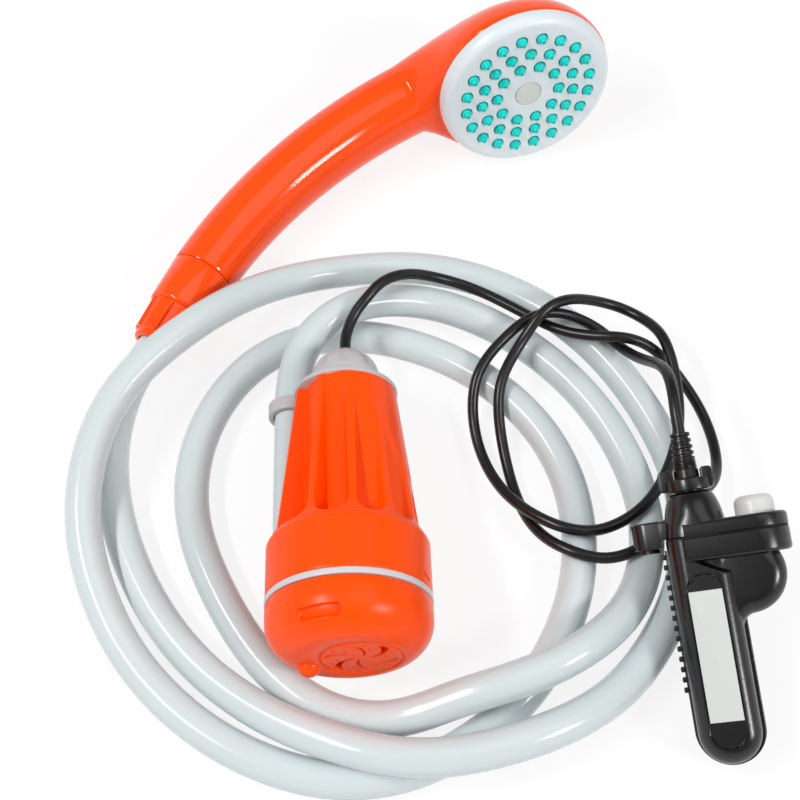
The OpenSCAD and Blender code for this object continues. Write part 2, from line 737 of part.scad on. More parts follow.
module top_cap() {
    color(pale_grey) place_pump() difference() {
        union() {
            translate([0, 0, top_z]) cylinder(r = flange_d / 2, h = flange_t);
            translate([motor_offset, 0, top_z - cap_spigot_h])
                cylinder(r = cap_spigot_r, h = cap_spigot_h + cut);
            translate([0, 0, dome_z - cut]) cylinder(r = dome_r, h = dome_lift + cut);
            translate([0, 0, dome_z + dome_lift]) intersection() {
                sphere(dome_r);
                translate([0, 0, -cut]) cylinder(r = dome_r, h = dome_h - dome_lift + cut);
            }
            translate([hose_at[0], hose_at[1], clip_z]) cylinder(r = clip_r, h = clip_h);
        }
        translate([hose_at[0], hose_at[1], clip_z - cut]) cylinder(r = clip_bore_r, h = clip_h + 2 * cut);
        translate([0, 0, top_z - cap_spigot_h - cut])
            cylinder(r = wire_bore_r, h = cap_spigot_h + flange_t + dome_h + 2 * cut);
        translate([motor_offset, 0, top_z - cap_spigot_h / 2]) rotate_extrude()
            translate([cap_spigot_r, 0]) circle(ring_w + press_gap);
        housing_ribs();
    }
}
module cap_o_ring() {
    color(black) place_motor() translate([0, 0, top_z - cap_spigot_h / 2]) rotate_extrude() intersection() {
        translate([cap_spigot_r, 0]) circle(ring_w);
        translate([0, -ring_w]) square([motor_space_r - press_gap, 2 * ring_w]);
    }
}
module cable_gland() {
    color(black) place_pump() {
        translate([0, 0, dome_z + dome_h - gland_root_h])
            cylinder(r = wire_bore_r - press_gap, h = gland_root_h + cut);
        translate([0, 0, dome_z + dome_h]) cylinder(r = gland_flange_r, h = gland_flange_h);
        translate([0, 0, dome_z + dome_h + gland_flange_h])
            cylinder(r1 = wire_bore_r, r2 = gland_tip_r, h = gland_h);
    }
}
module outlet_spout() {
    color(orange) place_pump() translate([hose_at[0], hose_at[1], chamber_top_z])
        barb(spout_r, spout_bore_r, floor_t + spout_h);
}

// Hose

module hose() { color(hose_grey) tube_along(curve(hose_points, 2), hose_r, 10); }

// Hand shower

function loft_ring(low, high, half_w) = let (c = (low + high) / 2, e = (low - high) / 2)
    [for (k = [0:loft_sides - 1]) let (a = 360 * k / loft_sides)
        [c[0] + e[0] * cos(a), -half_w * sin(a), c[1] + e[1] * cos(a)]];
function bend_ring(a, r) = let (c = bend_point(a), e = r * [-sin(a), cos(a)]) loft_ring(c + e, c - e, r);
function bezier(a, b, c, d, t) = pow(1 - t, 3) * a + 3 * t * pow(1 - t, 2) * b
    + 3 * t * t * (1 - t) * c + pow(t, 3) * d;
neck_low = bend_point(bend_from) + neck_r * [-sin(bend_from), cos(bend_from)];
neck_high = bend_point(bend_from) - neck_r * [-sin(bend_from), cos(bend_from)];
back_reach = 58;
crown_reach = 26;
function head_low(t) = neck_low + t * ([rim_r, rim_z] - neck_low);
function head_high(t) = bezier(neck_high, neck_high - back_reach * [cos(bend_from), sin(bend_from)],
    [-rim_r, rim_z - crown_reach], [-rim_r, rim_z], t);
function head_half(t) = neck_r + (rim_r - neck_r) * sin(90 * t);
module handle_form() {
    rings = concat(
        [for (k = [0:bend_rings]) let (t = k / bend_rings)
            each bend_ring(bend_to + t * (bend_from - bend_to), end_r + t * (neck_r - end_r))],
        [for (k = [1:head_rings]) let (t = k / head_rings)
            each loft_ring(head_low(t), head_high(t), head_half(t))]);
    polyhedron(rings, skin_faces(bend_rings + head_rings + 1, loft_sides));
}
module water_way() {
    rings = concat(
        [bend_ring(bend_to + 1, water_way_r)],
        [for (k = [0:bend_rings]) bend_ring(bend_to + k / bend_rings * (bend_from - bend_to), water_way_r)],
        [loft_ring(neck_low * 0.4 + [0, -8], neck_high * 0.4 + [0, -2], water_way_r)]);
    polyhedron([for (r = rings) each r], skin_faces(len(rings), loft_sides));
}
module shower_handle() {
    color(orange) place_head() {
        difference() {
            handle_form();
            translate([0, 0, rim_z - bowl_h + bowl_sphere_r]) intersection() {
                sphere(bowl_sphere_r);
                translate([0, 0, -bowl_sphere_r - cut]) cylinder(r = bowl_r, h = bowl_h + 2 * cut);
            }
            water_way();
        }
        translate([0, 0, rim_z - bowl_h - cut]) difference() {
            cylinder(r = boss_r, h = bowl_h + cut - rim_z - boss_drop);
            translate([0, 0, bowl_h + cut - rim_z - boss_drop - screw_h])
                cylinder(r = screw_r + press_gap, h = screw_h + cut);
        }
    }
}
module nozzle_spots() {
    for (ring = nozzle_rings, k = [0:ring[0] - 1]) rotate([0, 0, ring[2] + k * 360 / ring[0]])
        translate([ring[1], 0, 0]) children();
}
module face_plate() {
    color(pale_grey) place_head() difference() {
        mirror([0, 0, 1]) rotate_extrude() cup_section(face_r, face_h, face_edge);
        translate([0, 0, -face_h - cut]) cylinder(r = bowl_r, h = face_h - face_skin + cut);
        nozzle_spots() translate([0, 0, -face_skin - cut])
            cylinder(r = plate_hole_r, h = face_skin + 2 * cut);
        translate([0, 0, -cap_disc_t]) cylinder(r = cap_disc_r + press_gap, h = 2 * cap_disc_t);
        translate([0, 0, -face_h]) cylinder(r = screw_head_r + slip_gap, h = face_h);
    }
}
module face_seal() {
    color(black) place_head() translate([0, 0, rim_z]) tube(face_r, bowl_r, face_seal_t);
}
module nozzle_mat() {
    color(turquoise) place_head() difference() {
        union() {
            translate([0, 0, -face_skin - mat_t]) cylinder(r = mat_r, h = mat_t);
            nozzle_spots() translate([0, 0, -face_skin - cut / 2])
                cylinder(r = nozzle_r, h = face_skin + cut / 2 + nozzle_collar);
            nozzle_spots() translate([0, 0, nozzle_collar])
                cylinder(r1 = nozzle_r, r2 = nozzle_tip_r, h = nozzle_h - nozzle_collar);
        }
        nozzle_spots() translate([0, 0, -face_skin - mat_t - cut])
            cylinder(r = nozzle_bore_r, h = face_skin + mat_t + nozzle_h + 2 * cut);
        translate([0, 0, -face_skin - mat_t - cut]) cylinder(r = boss_r + slip_gap, h = mat_t + 2 * cut);
    }
}
module face_screw() {
    color(steel) place_head() {
        translate([0, 0, -boss_drop]) cylinder(r = screw_head_r, h = screw_head_h);
        translate([0, 0, -boss_drop - screw_h + cut]) cylinder(r = screw_r, h = screw_h);
    }
}
module centre_cap() {
    color(white) place_head() translate([0, 0, -cap_disc_t]) cylinder(r = cap_disc_r, h = cap_disc_t + 0.2);
}
module hose_tail() {
    color(white) place_nut() difference() {
        union() {
            translate([0, 0, -tail_spigot_h]) cylinder(r = tail_spigot_r, h = tail_spigot_h + washer_t + cut);
            translate([0, 0, washer_t]) cylinder(r = tail_flange_r, h = tail_flange_h);
            translate([0, 0, washer_t + tail_flange_h]) barb(spout_r, spout_bore_r, tail_barb_h);
        }
        translate([0, 0, -tail_spigot_h - cut])
            cylinder(r = spout_bore_r, h = tail_spigot_h + washer_t + tail_flange_h + 2 * cut);
    }
}
module tail_washer() {
    color(black) place_nut() tube(tail_flange_r, tail_spigot_r + press_gap, washer_t);
}
module hose_nut() {
    color(orange) place_nut() difference() {
        union() {
            translate([0, 0, seam_gap])
                cylinder(r1 = end_r - press_gap, r2 = nut_band_tip_r, h = nut_band_h - seam_gap);
            translate([0, 0, nut_band_h - cut])
                cylinder(r1 = nut_band_tip_r - nut_shoulder, r2 = nut_tip_r, h = nut_taper_h + cut);
        }
        translate([0, 0, -cut]) cylinder(r = nut_cavity_r, h = nut_cavity_h + cut);
        translate([0, 0, nut_cavity_h - cut])
            cylinder(r1 = nut_throat_r + 1, r2 = nut_throat_r, h = nut_band_h - nut_cavity_h + cut);
        translate([0, 0, nut_band_h - cut]) cylinder(r = nut_bore_r, h = nut_taper_h + 2 * cut);
        for (k = [0:nut_grips - 1]) rotate([0, 0, k * 360 / nut_grips])
            translate([nut_tip_r - nut_grip_depth, -nut_grip_w / 2, nut_band_h + nut_grip_depth])
                cube([nut_band_tip_r, nut_grip_w, nut_taper_h]);
    }
}

// Cord and plug

module power_cord() { color(black) tube_along(curve(cord_points, 2), cord_d / 2, 8); }
module plug_relief() {
    color(black) place_pack() along_pack(relief_y) difference() {
        cylinder(r1 = relief_foot_r, r2 = relief_tip_r, h = relief_h);
        for (k = [1:relief_grooves]) translate([0, 0, relief_h - k * relief_pitch])
            tube(relief_foot_r + cut, relief_core_r, relief_groove_w);
        for (k = [0:fine_grooves - 1]) translate([0, 0, fine_top - k * fine_pitch])
            tube(relief_foot_r + cut, fine_core_r, fine_groove_w);
    }
}
module plug_body() {
    color(black) place_pack() difference() {
        union() {
            along_pack(socket_bore_y + slip_gap) cylinder(r = nose_r, h = plug_low_y - socket_bore_y);
            along_pack(plug_low_y) cylinder(r = plug_r, h = plug_h);
        }
        for (x = [-1, 1]) translate([x * contact_pin_x, 0, 0]) along_pack(socket_bore_y)
            cylinder(r = contact_pin_r + press_gap, h = contact_pin_h);
    }
}
module plug_collar() {
    color(black) place_pack() along_pack(collar_low_y) difference() {
        union() {
            cylinder(r = collar_d / 2, h = collar_h);
            translate([-wing_reach, -wing_w / 2, wing_lift]) cube([2 * wing_reach, wing_w, wing_h]);
        }
        translate([0, 0, -cut]) cylinder(r = collar_bore_r, h = collar_lid_h + cut);
        cylinder(r = relief_foot_r + slip_gap, h = wing_lift + wing_h + cut);
    }
}
module plug_contacts() {
    color(brass) place_pack() for (x = [-1, 1]) translate([x * contact_pin_x, 0, 0])
        along_pack(socket_bore_y - contact_pin_h) cylinder(r = contact_pin_r, h = 2 * contact_pin_h);
}

// Battery pack

module pack_section(inset) {
    a = pack_half - inset;
    b = pack_half_t - inset;
    c = pack_edge - inset;
    square([2 * (a - c), 2 * b], center = true);
    square([2 * a, 2 * (b - c)], center = true);
    for (x = [-1, 1], z = [-1, 1]) translate([x * (a - c), z * (b - c)]) circle(c);
}
module arm_section(inset) {
    translate([0, -(arm_half - inset)]) square([arm_x, 2 * (arm_half - inset)]);
    translate([arm_x, 0]) circle(arm_half - inset);
}
module pack_form(inset, top_y) {
    end_y = -(pack_h - pack_half);
    along_pack(end_y) linear_extrude(top_y - end_y) pack_section(inset);
    translate([0, end_y, 0]) rotate_extrude() intersection() {
        pack_section(inset);
        translate([0, -pack_t]) square([pack_w, 2 * pack_t]);
    }
    along_pack(-arm_h + inset) linear_extrude(top_y + arm_h - inset) arm_section(inset);
    translate([bulge_at[0], bulge_at[1], -bulge_half + inset])
        cylinder(r = bulge_r - inset, h = 2 * (bulge_half - inset));
}
module half_space(side) {
    translate([-2 * pack_h, -2 * pack_h, side > 0 ? 0 : -pack_h]) cube([4 * pack_h, 4 * pack_h, pack_h]);
}
module pack_pocket() {
    r = pocket_w / 2;
    translate([0, 0, pack_half_t - pocket_depth]) {
        for (y = [pocket_top_y - r, pocket_top_y - pocket_h + r]) translate([0, y, 0])
            cylinder(r = r, h = pack_t);
        translate([-r, pocket_top_y - pocket_h + r, 0]) cube([pocket_w, pocket_h - 2 * r, pack_t]);
    }
}
module screw_post_cuts(r) {
    for (p = screw_posts) translate([p[0], p[1], -pack_t]) cylinder(r = r, h = 2 * pack_t);
}
module screw_posts_solid() {
    intersection() {
        pack_form(0, 0);
        for (p = screw_posts) translate([p[0], p[1], -pack_t])
            cylinder(r = post_head_r + post_wall, h = 2 * pack_t);
    }
}
module pack_shell(side) {
    intersection() {
        difference() {
            union() {
                difference() {
                    pack_form(0, 0);
                    pack_form(pack_wall, cut);
                }
                screw_posts_solid();
            }
            along_pack(cell_low_y - contact_t) cylinder(r = cell_r + slip_gap, h = cell_h + 2 * contact_t);
        }
        half_space(side);
    }
}
module pack_front() {
    color(black) place_pack() difference() {
        pack_shell(1);
        pack_pocket();
        intersection() {
            screw_post_cuts(post_r + press_gap);
            translate([-pack_w, -2 * pack_h, -pack_t])
                cube([4 * pack_w, 3 * pack_h, pack_t + bulge_half - pack_wall]);
        }
    }
}
module pack_rim() {
    end_y = -(pack_h - pack_half);
    r = pack_half + rim_out;
    translate([0, 0, -rim_t]) difference() {
        union() {
            translate([0, end_y, 0]) cylinder(r = r, h = rim_t);
            translate([-r, end_y, 0]) cube([pack_half, rim_top_y - end_y, rim_t]);
            translate([0, end_y, 0]) cube([r, -end_y - bulge_r + bulge_at[1], rim_t]);
        }
        translate([0, 0, rim_t / 2]) pack_form(pack_wall / 2, cut);
    }
    for (k = [0:tooth_count - 1])
        translate([-r - tooth_size[0] + cut / 2, tooth_top_y - k * tooth_pitch, -rim_t])
            cube([tooth_size[0] + cut / 2, tooth_size[1], tooth_size[2]]);
}
module pack_back() {
    color(black) place_pack() difference() {
        union() {
            pack_shell(-1);
            pack_rim();
        }
        screw_post_cuts(post_r + slip_gap);
        for (p = screw_posts) translate([p[0], p[1], -pack_t])
            cylinder(r = post_head_r + press_gap, h = pack_t - bulge_half + post_head_h);
    }
}
module pack_seal() {
    color(pale_grey) place_pack() along_pack(0) linear_extrude(seal_t) difference() {
        union() {
            pack_section(0.2);
            arm_section(0.2);
        }
        pack_section(pack_wall);
        arm_section(pack_wall);
    }
}
module ear_section(inset) {
    translate([ear_x, 0]) circle(ear_half - inset);
    translate([ear_x, -(ear_half - inset)]) square([-ear_x - pack_half + pack_wall, 2 * (ear_half - inset)]);
}
module pack_cap() {
    color(black) place_pack() difference() {
        union() {
            along_pack(seal_t) linear_extrude(dome_foot_h) pack_section(0);
            along_pack(seal_t) linear_extrude(arm_cap_h) arm_section(0);
            along_pack(dome_foot_h) rotate_extrude() intersection() {
                translate([dome_foot_r - dome_arc_r, 0]) circle(dome_arc_r);
                square([dome_foot_r, dome_top_y - dome_foot_h]);
            }
            along_pack(seal_t) linear_extrude(ear_top_y - seal_t) ear_section(0);
            along_pack(ear_low_y) linear_extrude(ear_top_y - ear_low_y) intersection() {
                ear_section(0);
                translate([-2 * pack_w, -pack_t])
                    square([2 * pack_w - pack_half - rim_out - slip_gap, 2 * pack_t]);
            }
        }
        along_pack(seal_t - cut) linear_extrude(cut + pack_wall) pack_section(pack_wall);
        translate([button_x, 0, 0]) along_pack(0)
            cylinder(r = arm_space_r, h = arm_cap_h + seal_t - arm_skin);
        translate([button_x, 0, 0]) along_pack(0) cylinder(r = button_r + button_guide_gap, h = 2 * arm_h);
        along_pack(socket_low_y - press_gap) cylinder(r = socket_r + press_gap, h = dome_top_y);
        translate([ear_x, 0, 0]) along_pack(ear_low_y - cut) cylinder(r = port_r, h = port_depth + cut);
        translate([ear_x, 0, 0]) along_pack(ear_low_y)
            cylinder(r = jack_r + press_gap, h = port_depth + jack_h);
    }
}
module label_plate() {
    color(white) place_pack()
        translate([-label_w / 2, pocket_top_y - label_top - label_h, pack_half_t - pocket_depth])
            cube([label_w, label_h, label_t]);
}
module power_button() {
    color(white) place_pack() translate([button_x, 0, 0]) {
        along_pack(button_low_y) cylinder(r = button_r + button_lip, h = button_lip_h);
        along_pack(button_low_y) rotate_extrude() {
            h = arm_cap_h + seal_t + button_h - button_low_y;
            square([button_r, h - button_dome]);
            square([button_r - button_dome, h]);
            translate([button_r - button_dome, h - button_dome]) circle(button_dome);
        }
    }
}
module switch_block() {
    color(black) place_pack() translate([button_x, 0, 0]) {
        translate([-switch_size[0] / 2, switch_top_y - switch_size[1], -switch_size[2] / 2])
            cube(switch_size);
        along_pack(switch_top_y) cylinder(r = plunger_r, h = plunger_h);
    }
}
module battery_cell() {
    color([0.2, 0.45, 0.3]) place_pack() along_pack(cell_low_y) cylinder(r = cell_r, h = cell_h);
}
module cell_contacts() {
    color(steel) place_pack() {
        along_pack(cell_low_y - contact_t) cylinder(r = contact_r, h = contact_t);
        along_pack(cell_low_y + cell_h) cylinder(r = contact_r, h = contact_t);
    }
}
module circuit_board() {
    color([0.1, 0.4, 0.2]) place_pack() translate(board_at) cube(board_size);
}
module charge_jack() {
    color(steel) place_pack() translate([ear_x, 0, 0]) along_pack(ear_low_y + port_depth) difference() {
        cylinder(r = jack_r, h = jack_h);
        translate([0, 0, -cut]) cylinder(r = jack_r - 1, h = jack_h);
    }
}
module port_cover() {
    color(black) place_pack() translate([ear_x, 0, 0]) {
        along_pack(ear_low_y - cover_lip - slip_gap) cylinder(r = port_r, h = cover_lip);
        along_pack(ear_low_y - slip_gap - cut / 2) cylinder(r = port_r - slip_gap, h = port_depth - slip_gap);
    }
}
module case_screws() {
    color(steel) place_pack() for (p = screw_posts) translate([p[0], p[1], 0]) {
        translate([0, 0, -bulge_half]) cylinder(r = post_head_r, h = post_head_h);
        translate([0, 0, -bulge_half]) cylinder(r = post_r, h = 2 * bulge_half - pack_wall - cut);
    }
}
module power_socket() {
    color(black) place_pack() difference() {
        along_pack(socket_low_y) cylinder(r = socket_r, h = dome_top_y - socket_low_y);
        along_pack(socket_bore_y) cylinder(r = socket_bore_r, h = dome_top_y);
        for (x = [-1, 1]) translate([x * contact_pin_x, 0, 0])
            along_pack(socket_bore_y - contact_pin_h - cut / 2)
                cylinder(r = contact_pin_r + press_gap, h = contact_pin_h + cut);
    }
}

pump_housing();
intake_cover();
trim_ring();
filter_screen();
volute_plate();
impeller();
motor_shaft();
shaft_seal();
motor_can();
motor_magnets();
armature();
motor_bushes();
motor_brushes();
motor_end_bell();
top_cap();
cap_o_ring();
cable_gland();
outlet_spout();
hose();
shower_handle();
face_plate();
face_seal();
nozzle_mat();
face_screw();
centre_cap();
hose_tail();
tail_washer();
hose_nut();
power_cord();
plug_relief();
plug_body();
plug_collar();
plug_contacts();
pack_front();
pack_back();
pack_cap();
pack_seal();
label_plate();
power_button();
switch_block();
battery_cell();
cell_contacts();
circuit_board();
charge_jack();
port_cover();
case_screws();
power_socket();
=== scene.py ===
"""Looks of a camp shower pump kit, built round its packed construction model."""
import math

import bmesh
import bpy
import numpy as np
from mathutils import Matrix, Vector


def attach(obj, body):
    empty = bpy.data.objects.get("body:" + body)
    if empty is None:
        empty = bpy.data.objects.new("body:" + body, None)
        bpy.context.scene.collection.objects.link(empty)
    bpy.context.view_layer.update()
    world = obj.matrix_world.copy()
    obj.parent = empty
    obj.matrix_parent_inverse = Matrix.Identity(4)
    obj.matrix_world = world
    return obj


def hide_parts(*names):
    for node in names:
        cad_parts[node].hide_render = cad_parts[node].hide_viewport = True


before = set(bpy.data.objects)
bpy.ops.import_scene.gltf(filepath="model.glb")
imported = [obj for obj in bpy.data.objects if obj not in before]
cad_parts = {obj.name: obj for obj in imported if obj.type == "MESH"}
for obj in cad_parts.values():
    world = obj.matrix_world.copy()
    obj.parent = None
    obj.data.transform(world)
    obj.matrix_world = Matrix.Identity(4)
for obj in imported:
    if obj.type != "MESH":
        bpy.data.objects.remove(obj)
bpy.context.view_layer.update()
scene = bpy.context.scene

MM = 0.001
KIT_SHIFT = Vector((3.4, -3.2, 0))


def turned(at, turn):
    """Matrix of a piece's own frame: millimetres in it to metres in the scene."""
    rx, ry, rz = (math.radians(a) for a in turn)
    rotation = Matrix.Rotation(rz, 4, "Z") @ Matrix.Rotation(ry, 4, "Y") @ Matrix.Rotation(rx, 4, "X")
    return Matrix.Translation((KIT_SHIFT + Vector(at)) * MM) @ rotation @ Matrix.Scale(MM, 4)


PUMP = turned(at=(-35.7, -130.5, 38), turn=(-93, 0, 2))
HEAD = turned(at=(39.4, 129.1, 41), turn=(-81.5, 11.1, 197.4))
PACK = turned(at=(92, -84.7, 38.6), turn=(21.5, -17.5, 1.8))

# Camera
SENSOR = 36
LENS = 58.5
NEAREST = 0.01
CAMERA_AT = Vector((-14.6, -276.2, 484)) * MM
CAMERA_AIM = Vector((-14.6, -8.2, 0)) * MM
camera_data = bpy.data.cameras.new("camera")
camera_data.sensor_width = SENSOR
camera_data.lens = LENS
camera_data.clip_start = NEAREST
camera = bpy.data.objects.new("camera", camera_data)
camera.location = CAMERA_AT
camera.rotation_euler = (CAMERA_AIM - CAMERA_AT).to_track_quat("-Z", "Y").to_euler()
scene.collection.objects.link(camera)
scene.camera = camera

# Materials
DISPLAY_KNEE = 0.04045
DISPLAY_SLOPE = 12.92
DISPLAY_LIFT = 0.055
DISPLAY_POWER = 2.4
DRIFT_SIZE = 28
DRIFT_DETAIL = 3
ROUGH_SPREAD = 0.1
COAT_ROUGH = 0.08
GRAIN_SIZE = 900
GRAIN_DETAIL = 2
GRAIN_HEIGHT = 0.0002


def linear(red, green, blue):
    """Colour from 0 to 255 as the display shows it, in the units that shaders work in."""
    def one(value):
        value /= 255
        if value <= DISPLAY_KNEE:
            return value / DISPLAY_SLOPE
        return ((value + DISPLAY_LIFT) / (1 + DISPLAY_LIFT)) ** DISPLAY_POWER
    return (one(red), one(green), one(blue), 1)


def finish_of(name, colour, shade, rough, coat=0.0, grain=0.0, metal=0.0, shine=0.5):
    """Moulded finish: a slow drift between two shades and, where grain is given, a fine texture."""
    material = bpy.data.materials.new(name)
    material.use_nodes = True
    tree = material.node_tree
    shader = tree.nodes["Principled BSDF"]
    shader.inputs["Metallic"].default_value = metal
    shader.inputs["Coat Weight"].default_value = coat
    shader.inputs["Coat Roughness"].default_value = COAT_ROUGH
    shader.inputs["Specular IOR Level"].default_value = shine
    place = tree.nodes.new("ShaderNodeTexCoord")
    drift = tree.nodes.new("ShaderNodeTexNoise")
    drift.inputs["Scale"].default_value = DRIFT_SIZE
    drift.inputs["Detail"].default_value = DRIFT_DETAIL
    tint = tree.nodes.new("ShaderNodeMix")
    tint.data_type = "RGBA"
    tint.inputs["A"].default_value = linear(*colour)
    tint.inputs["B"].default_value = linear(*shade)
    spread = tree.nodes.new("ShaderNodeMapRange")
    spread.inputs["To Min"].default_value = rough * (1 - ROUGH_SPREAD)
    spread.inputs["To Max"].default_value = rough * (1 + ROUGH_SPREAD)
    tree.links.new(place.outputs["Object"], drift.inputs["Vector"])
    tree.links.new(drift.outputs["Fac"], tint.inputs["Factor"])
    tree.links.new(tint.outputs["Result"], shader.inputs["Base Color"])
    tree.links.new(drift.outputs["Fac"], spread.inputs["Value"])
    tree.links.new(spread.outputs["Result"], shader.inputs["Roughness"])
    if grain:
        fine = tree.nodes.new("ShaderNodeTexNoise")
        fine.inputs["Scale"].default_value = GRAIN_SIZE
        fine.inputs["Detail"].default_value = GRAIN_DETAIL
        bump = tree.nodes.new("ShaderNodeBump")
        bump.inputs["Strength"].default_value = grain
        bump.inputs["Distance"].default_value = GRAIN_HEIGHT
        tree.links.new(place.outputs["Object"], fine.inputs["Vector"])
        tree.links.new(fine.outputs["Fac"], bump.inputs["Height"])
        tree.links.new(bump.outputs["Normal"], shader.inputs["Normal"])
    return material


LOOKS = {
    "orange_satin": dict(colour=(255, 80, 0), shade=(255, 74, 0), rough=0.3, grain=0.05, shine=0.2),
    "orange_gloss": dict(colour=(255, 80, 2), shade=(255, 74, 0), rough=0.11, shine=0.4),
    "pale_plastic": dict(colour=(207, 204, 205), shade=(202, 199, 201), rough=0.32, shine=0.3),
    # Darker copy of the pale plastic for the cap's dome: painted shade, not a different plastic
    "pale_plastic_painted_shade": dict(colour=(192, 189, 190), shade=(186, 183, 185), rough=0.32, shine=0.3),
    "plate_plastic": dict(colour=(220, 229, 232), shade=(216, 225, 229), rough=0.3, shine=0.4),
    "hose_plastic": dict(colour=(205, 214, 215), shade=(200, 210, 211), rough=0.17, shine=0.4),
    "turquoise_rubber": dict(colour=(2, 212, 204), shade=(0, 204, 196), rough=0.3, shine=0.3),
    "black_plastic": dict(colour=(5, 5, 6), shade=(3, 3, 4), rough=0.26, grain=0.1, shine=0.6),
    "black_rubber": dict(colour=(13, 11, 11), shade=(9, 8, 8), rough=0.32, shine=0.45),
    "grey_rubber": dict(colour=(20, 20, 21), shade=(16, 16, 17), rough=0.6, grain=0.1, shine=0.2),
    "white_plastic": dict(colour=(211, 211, 210), shade=(206, 206, 205), rough=0.3, shine=0.4),
    "label": dict(colour=(204, 208, 205), shade=(199, 203, 200), rough=0.5, grain=0.03, shine=0.2),
    "disc_plastic": dict(colour=(208, 212, 208), shade=(204, 208, 204), rough=0.4, shine=0.3),
    "steel": dict(colour=(178, 181, 186), shade=(165, 168, 172), rough=0.3, metal=1.0),
    "brass": dict(colour=(214, 178, 100), shade=(200, 164, 88), rough=0.32, metal=1.0),
    "magnet": dict(colour=(62, 60, 60), shade=(52, 51, 51), rough=0.6, grain=0.2),
    "cell_wrap": dict(colour=(48, 128, 92), shade=(42, 118, 84), rough=0.35, coat=0.3),
    "board": dict(colour=(26, 104, 56), shade=(20, 92, 48), rough=0.45),
}
FINISHES = {name: finish_of(name, **look) for name, look in LOOKS.items()}

# Cords: the hose and the power cord, along their routes
BEND_R = 200
BEND_MIDDLE = (19, 173)
BEND_FROM = math.radians(9)
BEND_TO = math.radians(46)
HOSE_R = 7
HOSE_AT = (-22, 8.5)
HOSE_START_Z = 45.8
LEAD_STEPS = 3
CLIP_Z = 104.8
CLIP_H = 6
CLIP_PAST = (2, 7)
TABLE_GAP = 0.5
NUT_START = 4.7
NUT_STEP = 14
NUT_STEPS = 5
CORD_R = 2.25
CORD_GAP = 0.1
GLAND_TOP_Z = 131.676
GLAND_STEP = 3
RELIEF_TOP_Y = 39.3
RELIEF_STEP = 4.5
CURVE_STEPS = 6
CORD_ROUNDNESS = 7
HOSE_LAY = [
    (-60, 3, 16), (-54, 14, 16), (-43, 25, 17), (-26, 32, 15), (-3, 35, 7), (18, 30, 1), (37, 18, 0),
    (55, 0, 0), (68, -20, 0), (77, -42, 0), (81, -64, 0), (78, -86, 1), (68, -106, 8), (52, -121, 16),
    (36, -130, 17), (18, -136, 16), (2, -139, 10), (-14, -144, 3), (-32, -145, 0), (-53, -138, 0),
    (-74, -119, 0), (-91, -91, 0), (-102, -64, 0), (-103, -36, 0), (-95, -10, 0), (-79, 11, 0),
    (-57, 22, 0), (-32, 23, 0), (-6, 16, 0), (18, 2, 0), (38, -18, 0), (50, -42, 0), (54, -68, 0),
    (51, -94, 0), (41, -118, 0), (26, -139, 0), (5, -155, 0), (-18, -165, 0), (-42, -167, 0),
    (-67, -161, 0), (-94, -147, 0), (-118, -125, 2), (-133, -100, 8), (-141, -75, 13), (-142, -52, 16),
    (-138, -30, 19), (-128, -11, 22), (-114, 5, 22), (-98, 21, 20), (-81, 37, 13), (-60, 50, 5),
    (-38, 57, 0), (-12, 59, 0), (16, 53, 0), (43, 39, 0), (66, 18, 0), (83, -9, 0), (94, -37, 0),
    (98, -66, 0), (93, -91, 0), (79, -117, 1), (62, -137, 7), (43, -149, 13), (23, -157, 16),
    (0, -162, 16), (-20, -162, 16), (-41, -156, 13), (-65, -146, 7), (-91, -128, 1), (-112, -104, 0),
    (-126, -78, 0), (-134, -54, 0), (-137, -28, 1)]
CORD_LAY = [
    (-40, 9, 31), (-38, 15, 32), (-35, 20, 34), (-31, 24, 36), (-26, 31, 37), (-16, 38, 33),
    (-4, 43, 23), (12, 41, 18), (26, 33, 18), (38, 25, 18), (50, 18, 18), (63, 13, 22), (77, 11, 26),
    (90, 9, 18), (100, 2, 8), (108, -10, 4), (112, -25, 4), (112, -40, 6), (107, -51, 13), (99, -58, 19),
    (91, -65, 19), (84, -73, 18), (75, -81, 19), (62, -85, 16), (48, -82, 18), (37, -73, 12), (30, -58, 6),
    (26, -40, 4), (23, -24, 9), (22, -11, 17), (26, 0, 20), (33, 11, 22), (41, 21, 31), (52, 28, 29),
    (64, 32, 21), (76, 32, 16), (86, 25, 17), (92, 13, 24), (95, -2, 22), (96, -18, 20), (94, -33, 19),
    (89, -46, 18), (83, -57, 18), (74, -66, 17), (62, -72, 16), (50, -74, 19), (37, -68, 17), (24, -54, 9),
    (16, -37, 5), (12, -20, 6), (12, -6, 16), (18, 5, 19), (26, 14, 20), (35, 21, 24), (46, 25, 24),
    (57, 24, 20), (67, 19, 18), (76, 9, 17), (81, -4, 31), (84, -14, 46), (85, -26, 56)]


def led_curve(points, steps):
    """Smooth curve led by a list of points, with a number of steps from each point to the next."""
    led = np.array(points, float)
    ends = np.vstack([2 * led[0] - led[1], led, 2 * led[-1] - led[-2]])
    out = []
    for i in range(len(led) - 1):
        a, b, c, d = ends[i:i + 4]
        for j in range(steps):
            t = j / steps
            out.append(((1 - t) ** 3 * a + (3 * t ** 3 - 6 * t ** 2 + 4) * b
                        + (1 + 3 * t + 3 * t ** 2 - 3 * t ** 3) * c + t ** 3 * d) / 6)
    out.append(led[-1])
    return np.array(out)


def cord_piece(name, points, radius, slot):
    """Round cord along points in metres."""
    data = bpy.data.curves.new(f"{name}_look", "CURVE")
    data.dimensions = "3D"
    spline = data.splines.new("POLY")
    spline.points.add(len(points) - 1)
    spline.points.foreach_set("co", np.hstack([points, np.ones((len(points), 1))]).ravel())
    spline.use_smooth = True
    data.bevel_depth = radius
    data.bevel_resolution = CORD_ROUNDNESS
    data.use_fill_caps = True
    data.materials.append(FINISHES[slot])
    piece = bpy.data.objects.new(f"{name}_look", data)
    scene.collection.objects.link(piece)
    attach(piece, "kit")
    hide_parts(name)
    return piece


